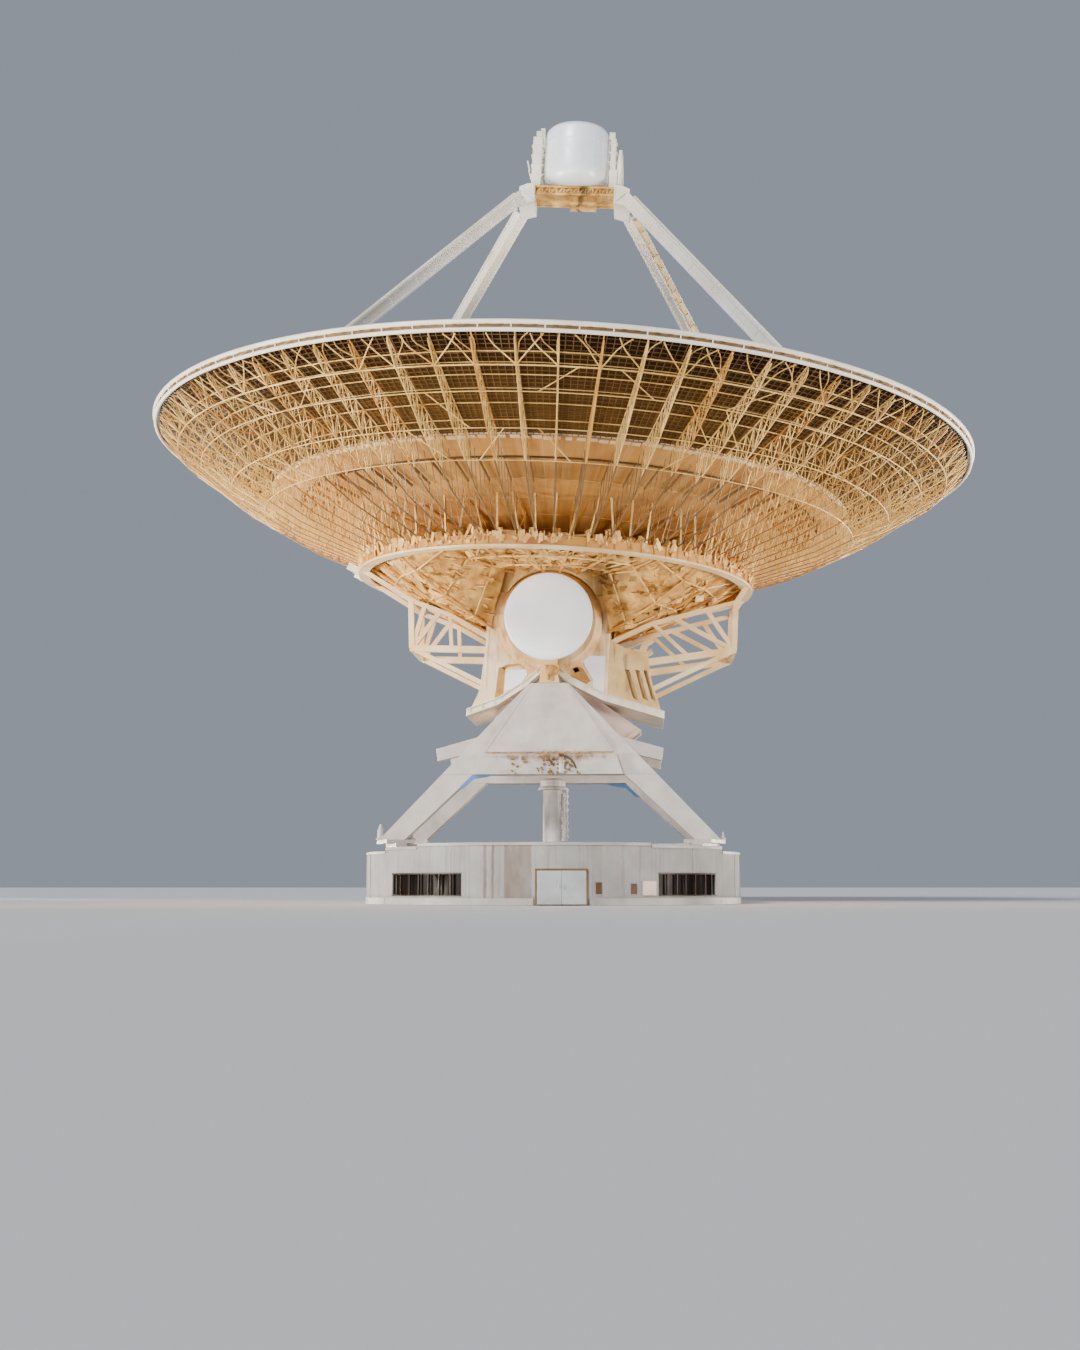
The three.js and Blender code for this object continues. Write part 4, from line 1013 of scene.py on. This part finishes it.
def cabin_cradle():
    """The beam under the cabin, with its posts and laces, and the clutter on its two faces."""
    cradle = Shape()
    low, high, half = CRADLE_LOW, DECK_Z - 0.01, 0.82
    stops = np.linspace(-2.3, 2.3, 12)
    cradle.box((-2.3, 2.3), (-half + 0.1, half - 0.1), (low + 0.06, high - 0.04))
    for y in (-half, half):
        starts, ends = ([(x, y, z) for z in (low + 0.06, high - 0.06)] for x in (-2.34, 2.34))
        cradle.bars(starts, ends, 0.12)
        for ends, width in ((stops, 0.08), (stops[1:], 0.06)):
            feet = [(x, y, low) for x in stops[:len(ends)]]
            cradle.bars(feet, [(x, y, high) for x in ends], width)
    cradle.box((-0.25, 1.2), (-0.5, 0.5), (24.96, low + 0.05))
    for x in (-0.25, 0.23, 0.72, 1.2):
        cradle.box((x - 0.03, x + 0.03), (-0.54, 0.54), (24.96, low))
    chance = random.Random(5)
    for _ in range(70):
        x, side = chance.uniform(-2.1, 2.1), chance.choice((-1, 1))
        z = chance.uniform(low + 0.08, high - 0.12)
        tilt = chance.uniform(-0.9, 0.9)
        reach = chance.uniform(0.12, 0.36)
        across = reach * math.cos(tilt)
        start = np.array((x - across, side * chance.uniform(half - 0.08, half + 0.02), z))
        stop = start + (2 * across, 0, 0.5 * reach * math.sin(tilt))
        width = chance.uniform(0.05, 0.16)
        cradle.bars(start, stop, width, 0.05, up=(0, chance.uniform(0.4, 1), 1))
    cradle.build("cabin_cradle", "foil", "buff_paint", ["cabin_frame"])


def cabin_brackets():
    """The four-plated brackets at the cradle's ends, where the feed legs arrive."""
    web = ((2.3, 25.92), (2.72, 25.9), (BRACKET_END, 25.7), (BRACKET_END, 24.6), (2.3, 24.84))
    flanges = (((2.3, 25.86), (2.7, 25.84), (3.19, 25.64), (3.19, 25.7), (2.72, 25.9),
                (2.3, 25.92)),
               ((2.3, 24.84), (3.19, 24.6), (3.19, 24.67), (2.3, 24.91)),
               ((3.12, 24.64), (3.19, 24.62), (3.19, 25.66), (3.12, 25.7)),
               ((2.3, 24.9), (2.37, 24.88), (2.37, 25.88), (2.3, 25.88)))
    plates = [(web, y, y + 0.06) for y in (-1.12, -0.42, 0.36, 1.06)]
    plates += [(outline, -1.14, 1.14) for outline in flanges]
    brackets = Shape()
    for side in (-1, 1):
        for outline, near, far in plates:
            brackets.prism([(side * x, z) for x, z in outline], (near, far))
        for y in (-1.15, 1.15):
            brackets.bars((side * 2.4, y, 24.95), (side * 3.1, y, 25.6), 0.08, 0.05)
    brackets.build("cabin_brackets", "leg", "white_paint", bevel=0.006)


def cabin_posts():
    """The stepped posts and the spikes that stand round the cabin."""
    boxes = ((-2.56, -2.02, 0.26, 25.9, 28.9), (-2.4, -2.06, 0.16, 28.9, POST_TOP),
             (-2.16, -1.9, 0.1, 28.6, 29.5), (1.98, 2.28, 0.19, 25.9, POST_TOP - 0.4),
             (1.86, 2.2, 0.16, 28.85, POST_TOP), (1.95, 2.42, 0.24, 25.9, 27.0))
    collars = ((-2.62, -1.94, 0.3, 0.0, 0.09), (1.88, 2.34, 0.22, 0.3, 0.37))
    spike = ((0, 26.1), (0.2, 26.1), (0.2, 27.2), (0.15, 27.9), (0.1, 28.25), (0, 28.32))
    posts, spikes = Shape(), Shape()
    for y in (-0.6, 0.6):
        for left, right, half, low, high in boxes:
            posts.box((left, right), (y - half, y + half), (low, high))
        for z in (26.5, 27.1, 27.7, 28.3):
            for left, right, half, low, high in collars:
                posts.box((left, right), (y - half, y + half), (z + low, z + high))
        spikes.lathe(spike, 12, centre=(2.56, y, 0))
        spikes.box((2.2, 2.6), (y - 0.1, y + 0.1), (26.2, 26.5))
        spikes.bars((-2.7, y, 26.9), (-2.86, y, 27.5), 0.08, sides=8)
    posts.build("cabin_posts", "post", "white_paint", bevel=0.01)
    spikes.build("cabin_spikes", "post", "steel")


def wall_details():
    """Coping, plinth, joints, window bars and the small doors of the ring wall."""
    trim = Shape()
    for start, stop, top in ((-55.2, -39.4, 2.97), (-39.2, 31.3, 3.12), (31.7, 62.1, 3.02),
                             (62.4, 304.5, 2.78)):
        trim.wall_strip(start, stop, top - 0.16, top - 0.02, 0.05)
    for start, stop in ((-55.3, -2.4), (13.1, 304.5)):
        trim.wall_strip(start, stop, 0.01, 0.36, 0.06)
    for angle in np.arange(74, 300, 12):
        trim.wall_strip(angle - 0.25, angle + 0.25, 0.36, 2.6, 0.03)
    for angle in (-27.1, 34.7, 47.0):
        trim.wall_strip(angle - 0.12, angle + 0.12, 1.7, 2.86, 0.02)
    trim.build("wall_trim", "wall_light", "wall_render", body="ring_building", bevel=0.004)

    bars = Shape()
    mullions = ((-51.4, -47.6, -43.3, -39.3, -35.4, -31.4, -27.4, -23.5),
                (34.0, 37.5, 41.0, 44.4, 48.6, 53.4, 58.3))
    for bay, angles in zip((LEFT_BAY, RIGHT_BAY), mullions):
        for angle in angles:
            bars.wall_strip(angle - 0.13, angle + 0.13, BAY_SILL, BAY_HEAD, -0.08, -0.2)
        bars.wall_strip(*bay, BAY_SILL - 0.02, BAY_SILL + 0.04, 0.02, -0.22)
        bars.wall_strip(*bay, BAY_HEAD - 0.07, BAY_HEAD, 0.02, -0.22)
    bars.build("window_bars", "bar", "brown_paint", body="ring_building")

    hatches = Shape()
    for start, stop, top in ((14.75, 16.45, 1.14), (24.95, 26.75, 1.08)):
        hatches.wall_strip(start, stop, 0.56, top, 0.06, 0.02)
    hatches.build("small_doors", "brown", "brown_paint", body="ring_building", bevel=0.003)
    panel = Shape().wall_strip(28.6, 33.0, 0.5, 1.2, 0.06)
    panel.build("wall_panel", "pink", "wall_render", body="ring_building", bevel=0.003)


def column_pipes():
    """The knobbly conduits that climb the column's right side."""
    pipes = Shape()
    low = 3.45
    for x, y, high, width in ((0.64, -0.28, 6.1, 0.13), (0.78, -0.1, 6.2, 0.1),
                              (0.62, 0.22, 6.0, 0.14)):
        pipes.bars((x, y, low), (x, y, high), width, sides=10)
        for z in np.arange(low + 0.15, high, 0.37):
            pipes.bars((x, y, z), (x, y, z + 0.14), width + 0.09, sides=10)
    pipes.build("column_conduits", "column", "steel", body="ring_building")


def tower_edges(side, sign):
    """Edge strips on an A-frame's plate, and studs on its cross box."""
    edges = Shape()
    near, far = sign * PLATE_Y, sign * (PLATE_Y + 0.03)
    face = sign * (PLATE_Y + 0.01)
    for x in (-1, 1):
        edges.bars((x * 0.93, face, 11.7), (x * 3.4, face, 8.1), 0.09, 0.03, up=(0, 1, 0))
    edges.box((-0.92, 0.92), (near, far), (11.62, 11.72))
    for x in np.arange(-3.4, 3.5, 0.4):
        for z in (7.78, 7.0):
            edges.bars((x, sign * CROSS_Y, z), (x, sign * (CROSS_Y + 0.03), z), 0.07, sides=6)
    edges.build(f"tower_edges_{side}", "tower", "white_paint", body="alidade")


def tower_rust(side, sign):
    """The rusty line over an A-frame's cross box, and the lumps of cable glands along the box."""
    rust, lumps = Shape(), Shape()
    chance = random.Random(31)
    near, far, foot = sign * PLATE_Y, sign * (PLATE_Y + 0.03), 7.97
    for x in np.arange(-3.35, 3.3, 0.28):
        right, top = x + chance.uniform(0.18, 0.3), foot + chance.uniform(0.04, 0.09)
        rust.box((x, right), (near, far), (foot, top))
    knob = ((0, 4.0), (0.3, 4.0), (0.3, 4.1), (0.16, 4.22), (0, 4.24))
    rust.lathe([(r, sign * y) for r, y in knob], 20, "y", (0.15, 0, 12.45))
    for _ in range(9):
        x, z = chance.uniform(-0.3, 0.45), chance.uniform(12.1, 12.8)
        stop = (x + chance.uniform(-0.2, 0.2), sign * 4.08, z - 0.25)
        rust.bars((x, sign * 4.05, z), stop, 0.14, sides=7)
    for _ in range(70):
        x = chance.gauss(0.35, 0.5) if chance.random() < 0.8 else chance.uniform(-2.0, -1.2)
        z = chance.uniform(6.85, 7.8)
        reach, tilt = chance.uniform(0.05, 0.2), chance.uniform(-1.4, 1.4)
        start = np.array((x, sign * chance.uniform(4.52, 4.6), z))
        stop = start + (reach * math.cos(tilt), 0, reach * math.sin(tilt) * 0.6)
        lumps.bars(start, stop, chance.uniform(0.05, 0.13), sides=7)
    rust.build(f"rust_line_{side}", "rust_and_shade_gold", "brown_paint", body="alidade")
    lumps.build(f"cable_glands_{side}", "gland", "steel", body="alidade")


def tower_fittings(side, sign):
    """Two pipes on an A-frame's cross box, its pale blue gusset, and the spires by its feet."""
    pipe = Shape().bars((0.7, sign * 4.66, 6.9), (0.7, sign * 4.66, 7.75), 0.3, sides=20)
    for z in (7.0, 7.5):
        pipe.box((0.45, 0.95), (sign * CROSS_Y, sign * 4.68), (z, z + 0.08))
    pipe.build(f"tower_pipe_{side}", "tower", "white_paint", body="alidade")
    turn = np.linspace(0.1, 1.45, 9)
    path = [0.45 + 1.0 * np.sin(turn), np.full(9, sign * 4.6), 7.05 + 0.85 * np.cos(turn)]
    hose = Shape().sweep(np.stack(path, -1), 0.1, sides=8, up=(0, 1, 0))
    hose.build(f"bent_pipe_{side}", "brown", "steel", body="alidade")
    outline = ((-2.9, 6.84), (-4.1, 6.84), (-4.85, 6.08), (-4.6, 6.08), (-4.0, 6.6), (-3.3, 6.72))
    patch = Shape().prism([(-sign * x, z) for x, z in outline], (sign * 4.2, sign * 4.24))
    patch.build(f"blue_gusset_{side}", "blue", "white_paint", body="alidade")
    spires = Shape()
    for x, y, wide, high in ((-9.05, 3.75, 0.26, 4.24), (-7.45, 3.1, 0.2, 3.72),
                             (9.2, 3.75, 0.15, 3.8)):
        spires.lathe([(0, 3.41), (wide, 3.41), (wide, 3.47), (wide * 0.75, 3.52),
                      (wide * 0.68, high - 0.3), (wide * 0.2, high), (0, high + 0.01)], 12,
                     centre=(x, sign * y, 0))
    spires.build(f"foot_spires_{side}", "tower", "white_paint", body="alidade")


NODE_LOOKS = (
    ("wall_", "wall"), ("glazing_", "glass"), ("door_frame", "rusty"), ("door_leaf", "door"),
    ("floor_slab", "concrete"), ("roof_slab", "concrete"), ("track_rail", "steel"),
    ("central_column", "column"), ("cable_wrap", "column"), ("pintle_frame", "grey"),
    ("tower_", "tower"), ("bearing_post", "hub"), ("leg_", "tower"), ("bogie_", "grey"),
    ("central_box", "cream"), ("chevron_plate", "post"), ("machinery_bay", "buff"),
    ("gear_sector", "pink"), ("hub_drum", "hub"), ("side_frame", "rib_cream"),
)


def dress_nodes():
    """Gives each solid that stays its material, and softens its edges."""
    for name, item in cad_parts.items():
        look = next((look for start, look in NODE_LOOKS if name.startswith(start)), None)
        if look:
            for slot in item.material_slots:
                slot.material = LOOKS[look]
            item.modifiers.new("join", "WELD").merge_threshold = 1e-5
            soften(item, 0.012)


def add_object(name, data, place, turn):
    """Puts a lamp or a camera into the scene."""
    item = bpy.data.objects.new(name, data)
    item.location = place
    item.rotation_euler = turn
    bpy.context.scene.collection.objects.link(item)
    return item


def stage():
    """The pale floor, the soft light and the camera."""
    bpy.ops.mesh.primitive_plane_add(size=900, location=(0, 0, 0))
    floor = bpy.context.object
    floor.name = "floor"
    look = Look("floor_look")
    tone = look.fade(look.noise(0.05, 2), 0.3, 0.7, 0.75, 0.72)
    roughness = look.fade(look.noise(1.0, 2), 0.0, 1.0, 0.9, 0.85)
    floor.data.materials.append(look.finish(tone, roughness))
    world = bpy.data.worlds.new("studio")
    bpy.context.scene.world = world
    world.use_nodes = True
    background = world.node_tree.nodes["Background"]
    background.inputs[0].default_value = (0.55, 0.62, 0.74, 1)
    background.inputs[1].default_value = 0.5
    key = bpy.data.lights.new("key", "SUN")
    key.energy = 3.0
    key.angle = math.radians(15)
    add_object("key", key, (0, 0, 0), Euler((math.radians(58), 0, math.radians(-28))))
    centre = (0, 0, 12)
    floods = ((-31, -14, 88000, centre, 62), (31, -14, 62000, centre, 62),
              (-28, 20, 52000, centre, 62), (28, 20, 52000, centre, 62),
              (-6, -34, 18000, centre, 62), (-10, -30, 26000, (0, 0, 20.5), 26),
              (-22, -22, 52000, (-6.3, -2, 9.0), 27), (25, -18, 15000, (7.5, -3, 8.8), 28))
    for x, y, power, aim, width in floods:
        flood = bpy.data.lights.new("flood", "SPOT")
        flood.shadow_soft_size = 3
        flood.spot_size = math.radians(width)
        flood.spot_blend = 1.0
        flood.energy = power
        flood.color = (1.0, 0.92, 0.80)
        place = Vector((x, y, 1.2))
        turn = (Vector(aim) - place).to_track_quat("-Z", "Y").to_euler()
        add_object("flood", flood, place, turn)
    camera = bpy.data.cameras.new("camera")
    camera.lens = FOCAL_PX / FRAME_HEIGHT_PX * SENSOR
    camera.sensor_width = SENSOR
    camera.clip_end = 2000
    reach = CAMERA_DISTANCE * SCALE
    place = (reach * math.sin(CAMERA_SIDE), -reach * math.cos(CAMERA_SIDE), CAMERA_HEIGHT * SCALE)
    turn = Euler((math.pi / 2 + CAMERA_PITCH, 0, CAMERA_SIDE + CAMERA_YAW))
    bpy.context.scene.camera = add_object("camera", camera, place, turn)


LOOKS = {
    "amber": weathered("amber_paint", 0xD9A04C, 0xAE7430, 0x6B421E, 0.35, 1.2),
    "gold": weathered("gold_paint", 0xF0CE84, 0xC29444, 0x7C5228, 0.3, 1.5),
    # Painted shade: a darker copy of the rib paint, for the rib chords over the plated bowl.
    "shade": weathered("rib_shade_paint", 0xA87232, 0x7E5124, 0x573719, 0.3, 1.2),
    # The foil's last colour is the painted shade in the sectors beside the bearings.
    "foil": cone_look("thin_plate", 0xF2C874, 0xA4681F, 0x55300F, 0x4E2C10),
    "flake": weathered("flaked_paint", 0xF2D08A, 0xC8893A, 0x6B4218, 0.6, 2.6, (1, 1, 0.7)),
    # Painted light: a lighter gold for the hub drum and bearing post, to brighten them out of their
    # shade.
    "hub": weathered("hub_lit_paint", 0xEFCF92, 0xCFA158, 0x805326, 0.3, 1.0),
    # Rust on the A-frames' cross boxes; on the central box, painted shade in the recess and the
    # opening.
    "rust_and_shade_gold": weathered("rust_and_shade_gold_paint", 0xC99A50, 0x8F6128, 0x54351A, 0.5, 2.2),
    "gland": weathered("gland_paint", 0x9A7440, 0x5F4220, 0x38240F, 0.5, 4.0),
    "rib_cream": weathered("frame_paint", 0xF3DDB4, 0xDAB47A, 0x875A2E, 0.35, 1.1),
    # The fourth colour of the box and of the buff bay below is their painted golden shade.
    "cream": box_look("box_paint", 0xF2E3C6, 0xE2C89C, 0xC48E44, 0x7A4E22),
    "white": weathered("white_paint", 0xF4F9FF, 0xE4EAF3, 0x9B8878, 0.15, 0.8, rough=(0.32, 0.55)),
    # Painted shade: the tower's white paint is given as greys.
    "tower": tower_look("tower_shaded_paint", 0xC4BEB9, 0xA49D97, 0x7A5216),
    "column": weathered("column_paint", 0xE6E3DF, 0xC0BAB3, 0x6E4520, 0.75, 1.6),
    "post": weathered("post_paint", 0xF0EBDD, 0xDBCFB2, 0x8E6A3C, 0.45, 1.4),
    "brown": weathered("brown_paint", 0x5E3F24, 0x3E2917, 0x241810, 0.4, 1.5),
    # Rust on the rim's band and the door frame; on the ribs away from the X axis, painted shade.
    "rusty": weathered("rust_and_shade_paint", 0x86683E, 0x5C4426, 0x36281A, 0.5, 1.8),
    "bar": weathered("bar_paint", 0x3C2618, 0x281A12, 0x18100B, 0.4, 2.5),
    # Painted shade: the ring building's whitish render and its trim are given as greys.
    "wall": wall_look("wall_shaded_paint", 0xA6A5A3, 0x8B8986, 0x634018),
    "wall_light": weathered("trim_shaded_paint", 0xB0AEAA, 0x94918C, 0x62482E, 0.5, 1.0),
    "door": weathered("door_paint", 0xB6BABE, 0x9A9C9F, 0x5E4830, 0.4, 1.6),
    "buff": box_look("buff_paint", 0xE4C892, 0xC69C5C, 0xB07A38, 0x6E4520),
    "pink": weathered("pink_paint", 0xE0C8BB, 0xC8AA9A, 0x80583F, 0.4, 1.0),
    "blue": weathered("blue_paint", 0x4F7FB4, 0x3B6697, 0x3B3A38, 0.3, 2.0),
    "grey": weathered("grey_paint", 0xC4C0BB, 0x9B958E, 0x5F4433, 0.45, 1.4, metallic=0.3),
    "steel": weathered("worn_steel", 0x9A9895, 0x74716E, 0x5A3F2E, 0.5, 2.0, rough=(0.3, 0.5),
                       metallic=0.8),
    "concrete": weathered("old_concrete", 0xB5B2AB, 0x95918A, 0x6C6257, 0.5, 0.8,
                          rough=(0.7, 0.9), metallic=0.0),
    "rim": weathered("rim_paint", 0xF8F3E8, 0xE6D9C0, 0xA0804F, 0.3, 1.2),
    "wire": weathered("bronze_wire", 0x7E5C30, 0x553C1F, 0x2E2014, 0.3, 1.6, metallic=0.2),
    "leg": weathered("leg_paint", 0xF4F0E8, 0xE4DAC8, 0x8C6A48, 0.35, 0.6, rough=(0.35, 0.6)),
    "film": mesh_look("bronze_mesh", 0x7C5A2A, 0x20150D),
    "face_mesh": mesh_look("pale_mesh", 0xDDD8CC, 0xCFC9BC, 0.1, True),
    "glass": weathered("dark_glass", 0x1C1410, 0x120C09, 0x33241A, 0.25, 1.0, rough=(0.3, 0.45),
                       metallic=0.0),
    "bowl": reflector_look("bowl_paint", 0xCE9242, 0xA8702F, 0xE6BE7C),
    "face": reflector_look("face_paint", 0xEDE7DA, 0xD9D1C2, 0xB9A98F),
}
glass = LOOKS["glass"].node_tree.nodes["Principled BSDF"]
glass.inputs["Specular IOR Level"].default_value = 0.08

back_structure()
for half in HALVES:
    bowl(*half)
    mesh_ring(*half)
    rim(*half)
for make in (girder, covers, box_plating, bay_trim, chevron_trim, sector_trim, feed_legs,
             cabin_shell, cabin_cradle, cabin_brackets, cabin_posts, wall_details, column_pipes):
    make()
for side in SIDES:
    tower_edges(*side)
    tower_rust(*side)
    tower_fittings(*side)
dress_nodes()
stage()
